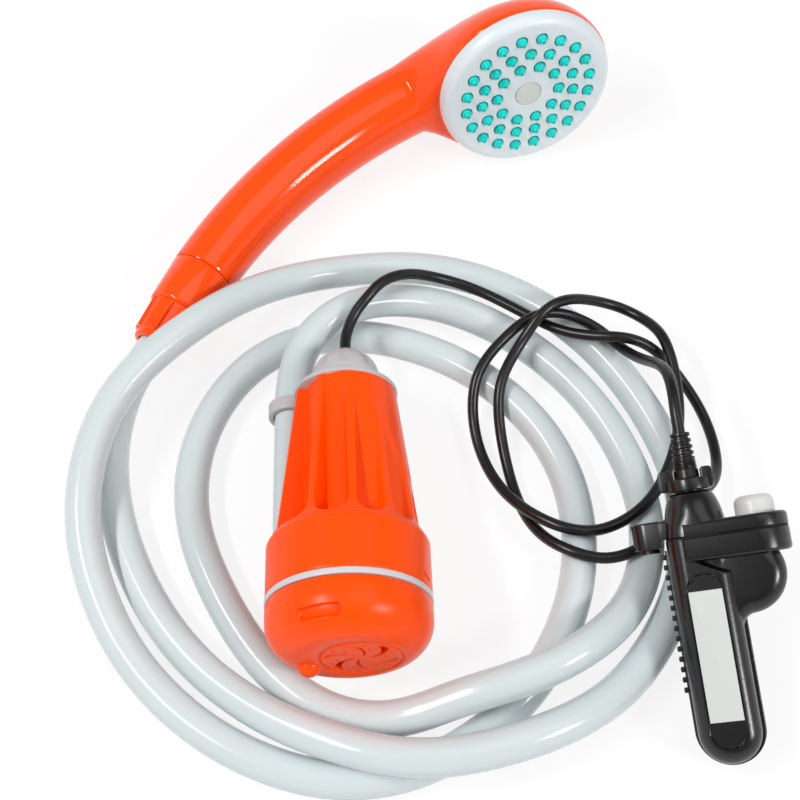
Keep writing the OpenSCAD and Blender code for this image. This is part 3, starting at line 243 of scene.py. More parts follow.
def in_pump(x, y, z):
    """Point of the pump's own frame, in the scene."""
    return PUMP @ Vector((x, y, z))


def in_nut(s):
    """Point on the nut's axis, s beyond the end of the handle."""
    x = BEND_MIDDLE[0] + BEND_R * math.sin(BEND_TO) + s * math.cos(BEND_TO)
    z = BEND_MIDDLE[1] - BEND_R * math.cos(BEND_TO) + s * math.sin(BEND_TO)
    return HEAD @ Vector((x, 0, z))


def on_table(points, lift):
    """Points of a lay, raised and in the scene."""
    return [(KIT_SHIFT + Vector((x, y, z + lift))) * MM for x, y, z in points]


lead_step = (CLIP_Z - HOSE_START_Z) / LEAD_STEPS
hose_points = [in_pump(*HOSE_AT, HOSE_START_Z + k * lead_step) for k in range(LEAD_STEPS + 1)]
hose_points += [in_pump(*HOSE_AT, CLIP_Z + CLIP_H + past) for past in CLIP_PAST]
hose_points += on_table(HOSE_LAY, HOSE_R + TABLE_GAP)
hose_points += [in_nut(NUT_START + k * NUT_STEP) for k in reversed(range(NUT_STEPS))]
cord_points = [in_pump(0, 0, GLAND_TOP_Z + CORD_GAP + k * GLAND_STEP) for k in (0, 1)]
cord_points += on_table(CORD_LAY, 0)
cord_points += [PACK @ Vector((0, RELIEF_TOP_Y + CORD_GAP + k * RELIEF_STEP, 0)) for k in (2, 1, 0)]

hose_line = led_curve(hose_points, CURVE_STEPS)
cord_line = led_curve(cord_points, CURVE_STEPS)
hose = cord_piece("hose", hose_line, HOSE_R * MM, "hose_plastic")
power_cord = cord_piece("power_cord", cord_line, CORD_R * MM, "black_rubber")

# Shapes
MERGE = 0.0005
THINNEST = 0.0001
SMALLEST_R = 0.02


def around(sides):
    """Angles of a full turn in equal steps."""
    return 2 * math.pi * np.arange(sides) / sides


def round_ring(angles, radius, height, centre=(0, 0)):
    """Points round an axis along Z; radius and height are one number, or one for each angle."""
    radii = np.broadcast_to(radius, len(angles))
    heights = np.broadcast_to(height, len(angles))
    return [(centre[0] + r * math.cos(a), centre[1] + r * math.sin(a), z)
            for r, a, z in zip(radii, angles, heights)]


def make_piece(work, name, matrix, nodes, body, sharp, finish):
    """Object made of a mesh in its own frame, riding on a body and standing for nodes."""
    bmesh.ops.recalc_face_normals(work, faces=work.faces[:])
    work.transform(matrix)
    mesh = bpy.data.meshes.new(name)
    work.to_mesh(mesh)
    work.free()
    mesh.polygons.foreach_set("use_smooth", [True] * len(mesh.polygons))
    mesh.set_sharp_from_angle(angle=math.radians(sharp))
    mesh.materials.append(FINISHES[finish])
    piece = bpy.data.objects.new(name, mesh)
    scene.collection.objects.link(piece)
    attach(piece, body)
    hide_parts(*nodes)


class Shape:
    """Faces gathered in a piece's own frame, in millimetres."""

    def __init__(self):
        self.verts = []
        self.faces = []

    def skin(self, rings, cap_first=True, cap_last=True, loop=False):
        """Closed rings of points joined one to the next; loop joins the last ring to the first."""
        start = len(self.verts)
        sides = len(rings[0])
        count = len(rings)
        faces = []
        for i in range(count if loop else count - 1):
            a, b = i * sides, (i + 1) % count * sides
            faces += [(a + k, a + (k + 1) % sides, b + (k + 1) % sides, b + k) for k in range(sides)]
        if cap_first and not loop:
            faces.append(tuple(reversed(range(sides))))
        if cap_last and not loop:
            faces.append(tuple(range((count - 1) * sides, count * sides)))
        self.verts.extend(tuple(map(float, point)) for ring in rings for point in ring)
        self.faces.extend(tuple(start + i for i in face) for face in faces)

    def revolve(self, profile, sides, centre=(0, 0), loop=False):
        """Profile of (radius, height) turned about an axis along Z."""
        self.skin([round_ring(around(sides), r, z, centre) for r, z in profile], loop=loop)

    def prism(self, outline, low, high, edge_low, edge_high, axis="z", steps=6):
        """Outline drawn out between two levels, with its rims rounded; outline(inset) gives its points."""
        bend = [math.pi / 2 * k / steps for k in range(steps + 1)]
        levels = [(low + edge_low * (1 - math.sin(a)), edge_low * (1 - math.cos(a))) for a in reversed(bend)]
        levels += [(high - edge_high * (1 - math.sin(a)), edge_high * (1 - math.cos(a))) for a in bend]
        rings = []
        for level, inset in levels:
            if axis == "z":
                rings.append([(u, v, level) for u, v in outline(inset)])
            else:
                rings.append([(u, level, v) for u, v in outline(inset)])
        self.skin(rings)

    def piece(self, name, matrix, slot, nodes, body="kit", sharp=32, finish=None):
        """The gathered faces as one object."""
        work = bmesh.new()
        made = [work.verts.new(v) for v in self.verts]
        for face in self.faces:
            work.faces.new([made[i] for i in face])
        bmesh.ops.remove_doubles(work, verts=work.verts[:], dist=MERGE)
        bmesh.ops.dissolve_degenerate(work, edges=work.edges[:], dist=THINNEST)
        make_piece(work, name, matrix, nodes, body, sharp, finish or slot)


def rounded(corners, steps=6, closed=False):
    """Points along corners of (x, y, radius), each corner rounded by its radius."""
    points = []
    last = len(corners) - 1
    for i, (x, y, radius) in enumerate(corners):
        at = Vector((x, y))
        if radius == 0 or (not closed and i in (0, last)):
            points.append(at)
            continue
        before = (Vector(corners[i - 1][:2]) - at).normalized()
        after = (Vector(corners[(i + 1) % len(corners)][:2]) - at).normalized()
        half = before.angle(after) / 2
        middle = at + (before + after).normalized() * radius / math.sin(half)
        start = at + before * radius / math.tan(half) - middle
        end = at + after * radius / math.tan(half) - middle
        sweep = start.angle(end)
        for k in range(steps + 1):
            t = k / steps
            arm = start * math.sin((1 - t) * sweep) + end * math.sin(t * sweep)
            points.append(middle + arm / math.sin(sweep))
    return [tuple(p) for p in points]


def tube(inner, outer, low, high, edge_in, edge_low, edge_high):
    """Closed profile of a tube; its inner edges, outer low edge and outer high edge are rounded."""
    return rounded([(inner, low, edge_in), (outer, low, edge_low), (outer, high, edge_high),
                    (inner, high, edge_in)], closed=True)


def circle(radius, at, sides):
    """Outline of a circle."""
    def outline(inset):
        return [(x, y) for x, y, _ in round_ring(around(sides), radius - inset, 0, at)]
    return outline


def block(x0, y0, x1, y1, corner, steps=6):
    """Outline of a rectangle with rounded corners."""
    def outline(inset):
        radius = max(corner - inset, SMALLEST_R)
        a, b, c, d = x0 + inset, y0 + inset, x1 - inset, y1 - inset
        return rounded([(a, b, radius), (c, b, radius), (c, d, radius), (a, d, radius)], steps, True)
    return outline


def clamp(t):
    """Number kept between 0 and 1."""
    return min(max(t, 0), 1)


def ease(t):
    """Soft step from 0 to 1."""
    t = np.clip(t, 0, 1)
    return t * t * (3 - 2 * t)


def turn_from(angles, middle):
    """Angles measured from a middle one, between minus and plus half a turn."""
    return (angles - middle + math.pi) % (2 * math.pi) - math.pi


# Pump: fluted housing with a plain band at its foot
BAND_R = 30.5
BAND_Z = 21.8
SEAM_R = 27.5
SHOULDER_Z = 44.8
SHOULDER_EDGE = 3.5
TOP_Z = 108.8
TOP_R = 20
MOUTH_R = 14.5
CORE_R = 20.5
CORE_X = 4
RIB_FOOT_R = 27.5
RIB_FLARE = 1.6
RIB_FLARE_FALL = 1.8
RIB_HALF = 1.2
RIB_ANGLES = (-162, -118, -84, -54, -24, 6, 36, 66, 96, 126)
GAP_FOOT_R = 6.5
GAP_FOOT_LIFT = 0.6
GAP_SIDE = 1.7
GAP_RISE = 4.0
CHANNEL_R = 7.6
FAR = 1000.0
NOTCH_ANGLE = math.radians(338)
NOTCH_Z = BAND_Z + 3.6
NOTCH_HALF = (3, 0.75)
NOTCH_LEAN = 0.2
NOTCH_DEEP = 0.8
NOTCH_EDGE = 0.5
HOUSING_SIDES = 640
HOUSING_FOOT = ((SEAM_R, 0), (BAND_R - 0.5, 0), (BAND_R - 0.2, 0.1), (BAND_R, 0.5))
SHOULDER_LOW = SHOULDER_Z - 4.8
FLUTE_LOW = SHOULDER_Z + 12.2
NOTCH_ROWS = np.arange(BAND_Z + 1.2, BAND_Z + 6.2, 0.25)
BAND_ROWS = np.arange(BAND_Z + 7.5, SHOULDER_LOW, 3)
SHOULDER_ROWS = np.arange(SHOULDER_LOW, FLUTE_LOW, 0.35)
FLUTE_ROWS = np.arange(FLUTE_LOW, TOP_Z, 1.2)


def near_circle(angles, centre, radius):
    """Distance from the axis to the near side of a circle, along each angle; far away where it is missed."""
    along = centre[0] * np.cos(angles) + centre[1] * np.sin(angles)
    inside = along ** 2 - centre[0] ** 2 - centre[1] ** 2 + radius ** 2
    reach = along - np.sqrt(np.maximum(inside, 0))
    return np.where((inside > 0) & (along > 0), reach, FAR)


def core_reach(angles):
    """Distance from the axis to the round core, which stands off the axis."""
    return CORE_X * np.cos(angles) + np.sqrt(CORE_R ** 2 - (CORE_X * np.sin(angles)) ** 2)


def envelope(z):
    """Radius of the housing across its ribs at a height."""
    start = SHOULDER_Z - SHOULDER_EDGE
    if z <= start:
        return BAND_R
    if z < SHOULDER_Z:
        arc = BAND_R - SHOULDER_EDGE + math.sqrt(SHOULDER_EDGE ** 2 - (z - start) ** 2)
        return max(arc, RIB_FOOT_R + RIB_FLARE)
    cone = RIB_FOOT_R + (TOP_R - RIB_FOOT_R) * (z - SHOULDER_Z) / (TOP_Z - SHOULDER_Z)
    return cone + RIB_FLARE * math.exp(-(z - SHOULDER_Z) / RIB_FLARE_FALL)


def housing_ring(angles, z):
    """Points round the housing at one height, sunk to its core and the hose's channel between the ribs."""
    outer = envelope(z)
    floor = np.minimum(np.minimum(core_reach(angles), near_circle(angles, HOSE_AT, CHANNEL_R)), outer)
    radius = np.full_like(angles, outer)
    for i, low in enumerate(RIB_ANGLES):
        high = RIB_ANGLES[i + 1] if i + 1 < len(RIB_ANGLES) else RIB_ANGLES[0] + 360
        half = math.radians(high - low) / 2
        off = turn_from(angles, math.radians((low + high) / 2))
        here = np.abs(off) < half
        across = np.abs(off) * outer
        width = half * outer - RIB_HALF
        bottom = min(width, GAP_FOOT_R)
        lean = np.maximum(across - (width - bottom), 0)
        foot = SHOULDER_Z + GAP_FOOT_LIFT + bottom - np.sqrt(np.maximum(bottom ** 2 - lean ** 2, 0))
        side = ease((width - across) / GAP_SIDE)
        rise = np.clip((z - foot) / GAP_RISE, 0, 1)
        sunk = side * (1 - (1 - rise) ** 3)
        radius = np.where(here, outer - (outer - floor) * sunk, radius)
    return round_ring(angles, radius, z)


def band_ring(angles, z):
    """Points round the plain band, which has one short notch near its lower edge."""
    off = turn_from(angles, NOTCH_ANGLE)
    along = np.abs(off) * BAND_R
    across = np.abs(z - NOTCH_Z + off * BAND_R * NOTCH_LEAN)
    inside = np.minimum(NOTCH_HALF[0] - along, NOTCH_HALF[1] - across)
    return round_ring(angles, BAND_R - NOTCH_DEEP * ease(inside / NOTCH_EDGE), z)


shape = Shape()
turn = around(HOUSING_SIDES)
rings = [round_ring(turn, r, BAND_Z + rise) for r, rise in HOUSING_FOOT]
rings += [band_ring(turn, z) for z in NOTCH_ROWS]
rings += [housing_ring(turn, z) for z in (*BAND_ROWS, *SHOULDER_ROWS, *FLUTE_ROWS, TOP_Z)]
rings.append(round_ring(turn, MOUTH_R, TOP_Z, centre=(CORE_X / 2, 0)))
shape.skin(rings, cap_first=False, cap_last=False)
shape.piece("pump_housing_look", PUMP, "orange_satin", nodes=("pump_housing",), sharp=50)

# Intake cover, with its window, nub and grille
COVER_H = 19
COVER_EDGE = 13
COVER_SIDES = 480
COVER_SLOPES = np.linspace(math.radians(77.5), 0, num=84)
COVER_RIM = ((BAND_R, COVER_EDGE + 2), (BAND_R, COVER_H - 0.5), (BAND_R - 0.2, COVER_H - 0.15),
             (BAND_R - 0.6, COVER_H), (SEAM_R, COVER_H))
WINDOW_ANGLE = math.radians(250)
WINDOW_SLOPE = math.radians(28)
WINDOW_HALF = (8.0, 2.3)
WINDOW_CORNER = 0.9
WINDOW_DEEP = 2.1
WINDOW_EDGE = 0.5
WINDOW_EDGE_SHIFT = 0.3
GRILLE_R = 15.8
GRILLE_ROWS = 80
GROOVE_R = 14.9
GROOVE_HALF = 0.5
GROOVE_DEEP = 0.75
SLOT_COUNT = 6
SLOT_TURN = math.radians(-27.5)
SLOT_BEND_R = 8
SLOT_HALF = 0.45
SLOT_DEEP = 0.8
SLOT_FROM = 2.0
SLOT_FADE_IN = 1.5
SLOT_TO = 13.2
SLOT_FADE_OUT = 0.9
SLOT_WIDEST_R = 13
SHUT_MORE = 0.5
SHUT_DEEPER = 0.3
OPEN_SLOTS = (2, 5)
OPEN_MORE = 1.0
OPEN_DEEPER = 4.5
OPEN_FROM = 7
OPEN_FADE = 3
DIMPLES = ((11.8, 36, 0.95), (8.7, 50, 0.75))
DIMPLE_DEEP = 0.6
NUB_OUT = 17.4
NUB_ANGLE = math.radians(149)
NUB_R = 4.5
NUB_Z = 1.5
NUB_SLOPES = np.linspace(-math.pi / 2, math.pi / 2, num=25)


def cover_ring(angles, slope):
    """Points round the cover's rounded edge, where it leans by an angle; the window is sunk in it."""
    off = turn_from(angles, WINDOW_ANGLE)
    reach = BAND_R - COVER_EDGE + COVER_EDGE * math.cos(slope)
    across = WINDOW_HALF[0] - np.abs(off) * reach
    along = WINDOW_HALF[1] - abs(slope - WINDOW_SLOPE) * COVER_EDGE
    corner = np.hypot(np.maximum(WINDOW_CORNER - across, 0), max(WINDOW_CORNER - along, 0))
    inside = np.minimum(WINDOW_CORNER - corner, np.minimum(across, along))
    sunk = WINDOW_DEEP * ease(inside / WINDOW_EDGE + WINDOW_EDGE_SHIFT)
    height = COVER_EDGE * (1 - math.sin(slope)) + sunk * math.sin(slope)
    return round_ring(angles, reach - sunk * math.cos(slope), height)


def cover_floor(out):
    """Height of the cover's underside at a distance from the pump's axis, before its grille is cut."""
    past = max(out - BAND_R + COVER_EDGE, 0)
    return COVER_EDGE - math.sqrt(COVER_EDGE ** 2 - past ** 2)


def grille_depth(x, y):
    """How far the grille is sunk in the cover's flat face, for a point about the grille's middle."""
    out = math.hypot(x, y)
    depth = GROOVE_DEEP * math.exp(-((out - GROOVE_R) / GROOVE_HALF) ** 2)
    ends = clamp((out - SLOT_FROM) / SLOT_FADE_IN) * clamp((SLOT_TO - out) / SLOT_FADE_OUT)
    for k in range(SLOT_COUNT):
        step = 2 * math.pi * k / SLOT_COUNT
        a = SLOT_TURN + step
        u = x * math.cos(a) + y * math.sin(a)
        v = -x * math.sin(a) + y * math.cos(a)
        if u > 0 and v > 0:
            away = abs(math.hypot(u - SLOT_BEND_R, v) - SLOT_BEND_R)
            is_open = k in OPEN_SLOTS
            wide = SLOT_HALF + (OPEN_MORE if is_open else SHUT_MORE) * min(out / SLOT_WIDEST_R, 1) ** 2
            deeper = OPEN_DEEPER * clamp((out - OPEN_FROM) / OPEN_FADE) if is_open else SHUT_DEEPER
            depth += (SLOT_DEEP + deeper) * ends * max(0, 1 - (away / wide) ** 4)
        for ring_r, start, size in DIMPLES:
            spot = math.radians(start) + step
            away = math.hypot(x - ring_r * math.cos(spot), y - ring_r * math.sin(spot))
            depth += DIMPLE_DEEP * max(0, 1 - (away / size) ** 2)
    return depth


shape = Shape()
turn = around(COVER_SIDES)
rings = []
for r in np.linspace(0, GRILLE_R, GRILLE_ROWS):
    ring = []
    for x, y, _ in round_ring(turn, r, 0):
        sunk = grille_depth(x, y) if r < GRILLE_R else 0
        ring.append((CORE_X + x, y, cover_floor(math.hypot(CORE_X + x, y)) + sunk))
    rings.append(ring)
rings += [cover_ring(turn, slope) for slope in COVER_SLOPES]
rings += [round_ring(turn, r, z) for r, z in COVER_RIM]
shape.skin(rings, cap_first=False, cap_last=False)
shape.revolve([(NUB_R * math.cos(b), NUB_Z + NUB_R * math.sin(b)) for b in NUB_SLOPES],
              centre=(NUB_OUT * math.cos(NUB_ANGLE), NUB_OUT * math.sin(NUB_ANGLE)), sides=48)
shape.piece("intake_cover_look", PUMP, "orange_satin", nodes=("intake_cover",), body="intake", sharp=60)

# Pale ring between the casings
TRIM_IN_R = 26.7
TRIM_OUT_R = BAND_R + 0.25
TRIM_Z = COVER_H + 0.3
shape = Shape()
shape.revolve(tube(TRIM_IN_R, TRIM_OUT_R, TRIM_Z, BAND_Z, edge_in=0.2, edge_low=0.6, edge_high=0.6),
              sides=160, loop=True)
shape.piece("trim_ring_look", PUMP, "pale_plastic", nodes=("trim_ring",))

# Cap with its faceted dome and the clip ring round the hose
CAP_SIDES = 240
FLANGE_R = 20.5
DOME_Z = 110.8
DOME_R = 13.8
DOME_LIFT = 5.5
DOME_ROWS = 24
DOME_RISE = math.radians(67)
FLANGE_EDGE = ((6, TOP_Z), (0.5, TOP_Z), (0.1, TOP_Z + 0.2), (0, TOP_Z + 0.6), (0, DOME_Z - 0.7),
               (0.2, DOME_Z - 0.2), (0.7, DOME_Z))
DOME_FOOT = ((0.8, DOME_Z), (0.15, DOME_Z + 0.2), (0, DOME_Z + 0.9))
FACET_DEEP = 1.3
FACET_FROM = 2
FACET_ROWS = 19
FACET_POWER = 0.7
FACET_TURNS = 4
FACET_BORDER = 0.35
CLIP_IN_R = 7.3
CLIP_OUT_R = 9.4
shape = Shape()
turn = around(CAP_SIDES)
flange_out = np.minimum(FLANGE_R, near_circle(turn, HOSE_AT, CHANNEL_R))
rings = [round_ring(turn, flange_out - inset, z) for inset, z in FLANGE_EDGE]
rings += [round_ring(turn, DOME_R + out, z) for out, z in DOME_FOOT]
lens = np.maximum(np.cos(FACET_TURNS * turn) ** 2 - FACET_BORDER, 0) / (1 - FACET_BORDER)
for k in range(DOME_ROWS + 1):
    rise = DOME_RISE * k / DOME_ROWS
    facet = FACET_DEEP * math.sin(math.pi * clamp((k - FACET_FROM) / FACET_ROWS)) ** FACET_POWER
    rings.append(round_ring(turn, (DOME_R - facet * lens) * math.cos(rise),
                            DOME_Z + DOME_LIFT + DOME_R * math.sin(rise)))
shape.skin(rings)
shape.revolve(tube(CLIP_IN_R, CLIP_OUT_R, CLIP_Z, CLIP_Z + CLIP_H, edge_in=0.4, edge_low=0.7, edge_high=0.7),
              centre=HOSE_AT, sides=96, loop=True)
# The cap is the same pale plastic as the trim ring, drawn darker as painted shade on its dome
shape.piece("top_cap_look", PUMP, "pale_plastic", nodes=("top_cap",), finish="pale_plastic_painted_shade")

# Gland that the cord leaves by
GLAND_Z = DOME_Z + 15.276
GLAND_LOW = GLAND_Z - 0.6
GLAND_LIP = GLAND_Z + 1.6
GLAND_R = 5.2
GLAND_NOSE_R = (3.9, 3.2)
shape = Shape()
shape.revolve(rounded([(0, GLAND_LOW, 0), (GLAND_R, GLAND_LOW, 0.3), (GLAND_R, GLAND_LIP, 0.7),
                       (GLAND_NOSE_R[0], GLAND_LIP, 0.5), (GLAND_NOSE_R[1], GLAND_TOP_Z, 0.5),
                       (0, GLAND_TOP_Z, 0)]), sides=64)
shape.piece("cable_gland_look", PUMP, "black_rubber", nodes=("cable_gland",))

# Hand shower: handle and head, in one skin
FACE_R = 39.3
RIM_R = 39.8
RIM_Z = -6.8
BOWL_R = 36.7
NECK_R = 16.25
NECK_PULL = 58
RIM_PULL = 26
END_R = 14.2
HANDLE_END = ((0, 0.6), (0.0005, 0.2), (0.0025, 0))
HANDLE_SIDES = 112
HANDLE_ROWS = 40
HEAD_ROWS = 48
HEAD_BOWL = ((39.6, RIM_Z + 0.35), (39.1, RIM_Z + 0.5), (BOWL_R, RIM_Z + 0.4), (30, -16), (18, -23),
             (4, -25.8))


def bend_at(a):
    """Point on the handle's bent middle line."""
    return Vector((BEND_MIDDLE[0] + BEND_R * math.sin(a), BEND_MIDDLE[1] - BEND_R * math.cos(a)))


def bend_side(a, radius):
    """Step across the handle's bend."""
    return Vector((-math.sin(a), math.cos(a))) * radius


def loft_ring(low, high, half):
    """Oval ring through two points of the middle plane, with half its width across that plane."""
    middle, reach = (low + high) / 2, (low - high) / 2
    ring = []
    for a in around(HANDLE_SIDES):
        ring.append((middle.x + reach.x * math.cos(a), -half * math.sin(a), middle.y + reach.y * math.cos(a)))
    return ring


def bend_ring(a, radius):
    """Round ring of the handle."""
    side = bend_side(a, radius)
    return loft_ring(bend_at(a) + side, bend_at(a) - side, radius)


def bezier(a, b, c, d, t):
    """Point on a curve from a to d that b and c pull."""
    return (1 - t) ** 3 * a + 3 * t * (1 - t) ** 2 * b + 3 * t * t * (1 - t) * c + t ** 3 * d


neck_side = bend_side(BEND_FROM, NECK_R)
neck_low, neck_high = bend_at(BEND_FROM) + neck_side, bend_at(BEND_FROM) - neck_side
neck_pulled = neck_high - NECK_PULL * Vector((math.cos(BEND_FROM), math.sin(BEND_FROM)))
rim_low, rim_high = Vector((RIM_R, RIM_Z)), Vector((-RIM_R, RIM_Z))
rim_pulled = Vector((-RIM_R, RIM_Z - RIM_PULL))
shape = Shape()
rings = [bend_ring(BEND_TO - back, END_R - inset) for back, inset in HANDLE_END]
for k in range(1, HANDLE_ROWS + 1):
    t = k / HANDLE_ROWS
    rings.append(bend_ring(BEND_TO + t * (BEND_FROM - BEND_TO), END_R + t * (NECK_R - END_R)))
for k in range(1, HEAD_ROWS + 1):
    t = k / HEAD_ROWS
    low = neck_low.lerp(rim_low, t)
    high = bezier(neck_high, neck_pulled, rim_pulled, rim_high, t)
    rings.append(loft_ring(low, high, NECK_R + (RIM_R - NECK_R) * math.sin(math.pi / 2 * t)))
rings += [loft_ring(Vector((radius, z)), Vector((-radius, z)), radius) for radius, z in HEAD_BOWL]
shape.skin(rings)
shape.piece("shower_handle_look", HEAD, "orange_gloss", nodes=("shower_handle",), sharp=40)

# Spray plate with a hole for each nozzle and a seat for the disc
PLATE_SIDES = 160
PLATE_ROUND = (4.2, 5.0)
PLATE_SLOPES = np.linspace(math.pi / 2, 0, num=12)
PLATE_RIM = [(FACE_R + 0.1, -6.2), (FACE_R + 0.1, -6.6), (FACE_R - 0.3, -6.7), (BOWL_R, -6.0), (BOWL_R, -2.5)]
NOZZLE_RINGS = ((10, 14.5, 23.5), (15, 21.5, 17.5), (20, 29, 14.5))
HOLE_R = 2.75
HOLE_SIDES = 24
HOLE_CHAMFER = 0.15
HOLE_DEEP = 2.5
DISC_R = 6.0
SEAT_R = DISC_R + 0.12
SEAT_SIDES = 64
SEAT_CHAMFER = 0.1
SEAT_DEEP = 1.0
spots = []
for count, r, start in NOZZLE_RINGS:
    for k in range(count):
        a = math.radians(start + k * 360 / count)
        spots.append((r * math.cos(a), r * math.sin(a)))


def plate_with_holes(name, matrix, nodes):
    """Round plate whose flat face is pierced; its rim is rounded."""
    work = bmesh.new()

    def loop_of(radius, z, sides, centre=(0, 0)):
        return [work.verts.new(p) for p in round_ring(around(sides), radius, z, centre)]

    def join(loops):
        for low, high in zip(loops, loops[1:]):
            for a, b, c, d in zip(low, low[1:] + low[:1], high[1:] + high[:1], high):
                work.faces.new((a, b, c, d))

    def edges_of(loop):
        return [work.edges.get(pair) for pair in zip(loop, loop[1:] + loop[:1])]

    wide, deep = PLATE_ROUND
    profile = [(FACE_R - wide + wide * math.cos(b), -deep + deep * math.sin(b)) for b in PLATE_SLOPES]
    rim = [loop_of(r, z, PLATE_SIDES) for r, z in profile + PLATE_RIM]
    join(rim)
    flat = edges_of(rim[0])

    def pierce(centre, radius, sides, chamfer, depth):
        wall = ((radius + chamfer, 0), (radius, -chamfer), (radius, -depth))
        loops = [loop_of(r, z, sides, centre) for r, z in wall]
        join(loops)
        flat.extend(edges_of(loops[0]))
        return loops[-1]

    for spot in spots:
        pierce(spot, HOLE_R, HOLE_SIDES, HOLE_CHAMFER, HOLE_DEEP)
    work.faces.new(pierce((0, 0), SEAT_R, SEAT_SIDES, SEAT_CHAMFER, SEAT_DEEP))
    bmesh.ops.triangle_fill(work, edges=flat, use_beauty=True, normal=(0, 0, 1))
    make_piece(work, name, matrix, nodes, body="kit", sharp=30, finish="plate_plastic")


plate_with_holes("face_plate_look", HEAD, nodes=("face_plate",))

# Soft nozzles on their sheet
SHEET = [(4.5, -4.3), (36, -4.3), (36, -2.55), (4.5, -2.55)]
NOZZLE = [(1.9, -2.8), (2.2, -0.4), (2.3, 0.1), (2.25, 0.5), (2.05, 0.85), (1.7, 1.1), (1.3, 1.25),
          (1.05, 1.45), (0.98, 2.6), (0.85, 2.8), (0.5, 2.8), (0.42, 2.6), (0.4, 1.6), (0, 1.6)]
shape = Shape()
shape.revolve(SHEET, sides=96, loop=True)
for spot in spots:
    shape.revolve(NOZZLE, centre=spot, sides=28)
shape.piece("nozzle_mat_look", HEAD, "turquoise_rubber", nodes=("nozzle_mat",), sharp=60)

# Disc in the middle of the spray plate
DISC_SIDE_R = DISC_R - 0.1
DISC_LOW = -0.9
DISC_TOP = 0.12
DISC_EDGE = 0.25
shape = Shape()
shape.revolve(rounded([(0, DISC_LOW, 0), (DISC_SIDE_R, DISC_LOW, 0), (DISC_SIDE_R, DISC_TOP, DISC_EDGE),
                       (0, DISC_TOP, 0)]), sides=72)
shape.piece("centre_cap_look", HEAD, "white_plastic", nodes=("centre_cap",), finish="disc_plastic")

# Nut that clamps the hose: a plain band, then a taper with raised pads
NUT_SIDES = 300
NUT_BAND = 21.5
NUT_H = 40
NUT_R = 11.0
NUT_TAPER = 1.3
NUT_FOOT = ((9, 0.3), (13.6, 0.3), (13.95, 0.45), (14.1, 0.9), (13.15, 20.2), (13.0, 21.0), (12.6, 21.4),
            (11.4, 21.6))
NUT_END = ((9.7, NUT_H - 0.9), (9.5, NUT_H - 0.3), (9.0, NUT_H), (7.6, NUT_H), (7.5, NUT_H - 2), (7.5, 23),
           (9, 18), (9, 5))
PAD_COUNT = 6
PAD_HALF = 3.9
PAD_RISE = 1.15
PAD_SIDE = 0.8
PAD_END = 2.6
PAD_CORNER = 2.6
PAD_CORNER_FALL = 0.9
PAD_FADE = 0.9
PAD_ROWS = np.arange(21.9, NUT_H - 0.9, 0.35)
end = bend_at(BEND_TO)
NUT = HEAD @ Matrix.Translation((end.x, 0, end.y)) @ Matrix.Rotation(math.pi / 2 - BEND_TO, 4, "Y")


def nut_ring(angles, s):
    """Points round the nut's taper at a distance from the handle's end."""
    low = NUT_R - NUT_TAPER * (s - NUT_BAND) / (NUT_H - NUT_BAND)
    pitch = 2 * math.pi / PAD_COUNT
    off = np.abs((angles + math.pi / PAD_COUNT + pitch / 2) % pitch - pitch / 2) * NUT_R
    side = ease((PAD_HALF - off) / PAD_SIDE + 0.5)
    corner = np.maximum(off - PAD_CORNER, 0) ** 2 * PAD_CORNER_FALL
    ends = ease((NUT_H - PAD_END - s - corner) / PAD_FADE)
    return round_ring(angles, low + PAD_RISE * side * ends, s)


shape = Shape()
turn = around(NUT_SIDES)
rings = [round_ring(turn, r, s) for r, s in NUT_FOOT]
rings += [nut_ring(turn, s) for s in PAD_ROWS]
rings += [round_ring(turn, r, s) for r, s in NUT_END]
shape.skin(rings, cap_first=False, cap_last=False)
shape.piece("hose_nut_look", NUT, "orange_gloss", nodes=("hose_nut",), body="nut", sharp=45)

# Plug: relief with bold and fine grooves
PLUG = PACK @ Matrix.Rotation(-math.pi / 2, 4, "X")
RELIEF_Y = 20.3
RELIEF_H = RELIEF_TOP_Y - RELIEF_Y
RELIEF_ROWS = 152
RELIEF_R = 4.75
RELIEF_TAPER = 1.1
RELIEF_FOOT_R = 4.1
RELIEF_FOOT_H = 2.1
RELIEF_EDGE = 0.25
BOLD_PITCH = 2.3
BOLD_SHIFT = 0.5
BOLD_MIDDLES = [RELIEF_H - BOLD_PITCH * n + BOLD_SHIFT for n in (1, 2, 3, 4)]
BOLD_CUT = (0.75, 0.62, 0.3)
FINE_TOP = 8.7
FINE_PITCH = 0.85
FINE_SHIFT = 0.18
FINE_MIDDLES = [FINE_TOP - FINE_PITCH * n + FINE_SHIFT for n in range(5)]
FINE_CUT = (0.35, 0.3, 0.2)


def groove(along, middles, cut):
    """Depth of a row of grooves at a place; cut gives their depth, half width and edge."""
    depth, half, edge = cut
    away = min(abs(along - middle) for middle in middles)
    return depth * float(ease((half - away) / edge))


profile = [(0, RELIEF_Y)]
for k in range(RELIEF_ROWS + 1):
    along = RELIEF_H * k / RELIEF_ROWS
    wide = RELIEF_FOOT_R if along < RELIEF_FOOT_H else RELIEF_R - RELIEF_TAPER * along / RELIEF_H
    cut = max(groove(along, BOLD_MIDDLES, BOLD_CUT), groove(along, FINE_MIDDLES, FINE_CUT))
    edge = RELIEF_EDGE if k in (0, RELIEF_ROWS) else 0
    profile.append((wide - cut - edge, RELIEF_Y + along))
profile.append((0, RELIEF_TOP_Y))
shape = Shape()
shape.revolve(profile, sides=56)
shape.piece("plug_relief_look", PLUG, "black_rubber", nodes=("plug_relief",), sharp=50)

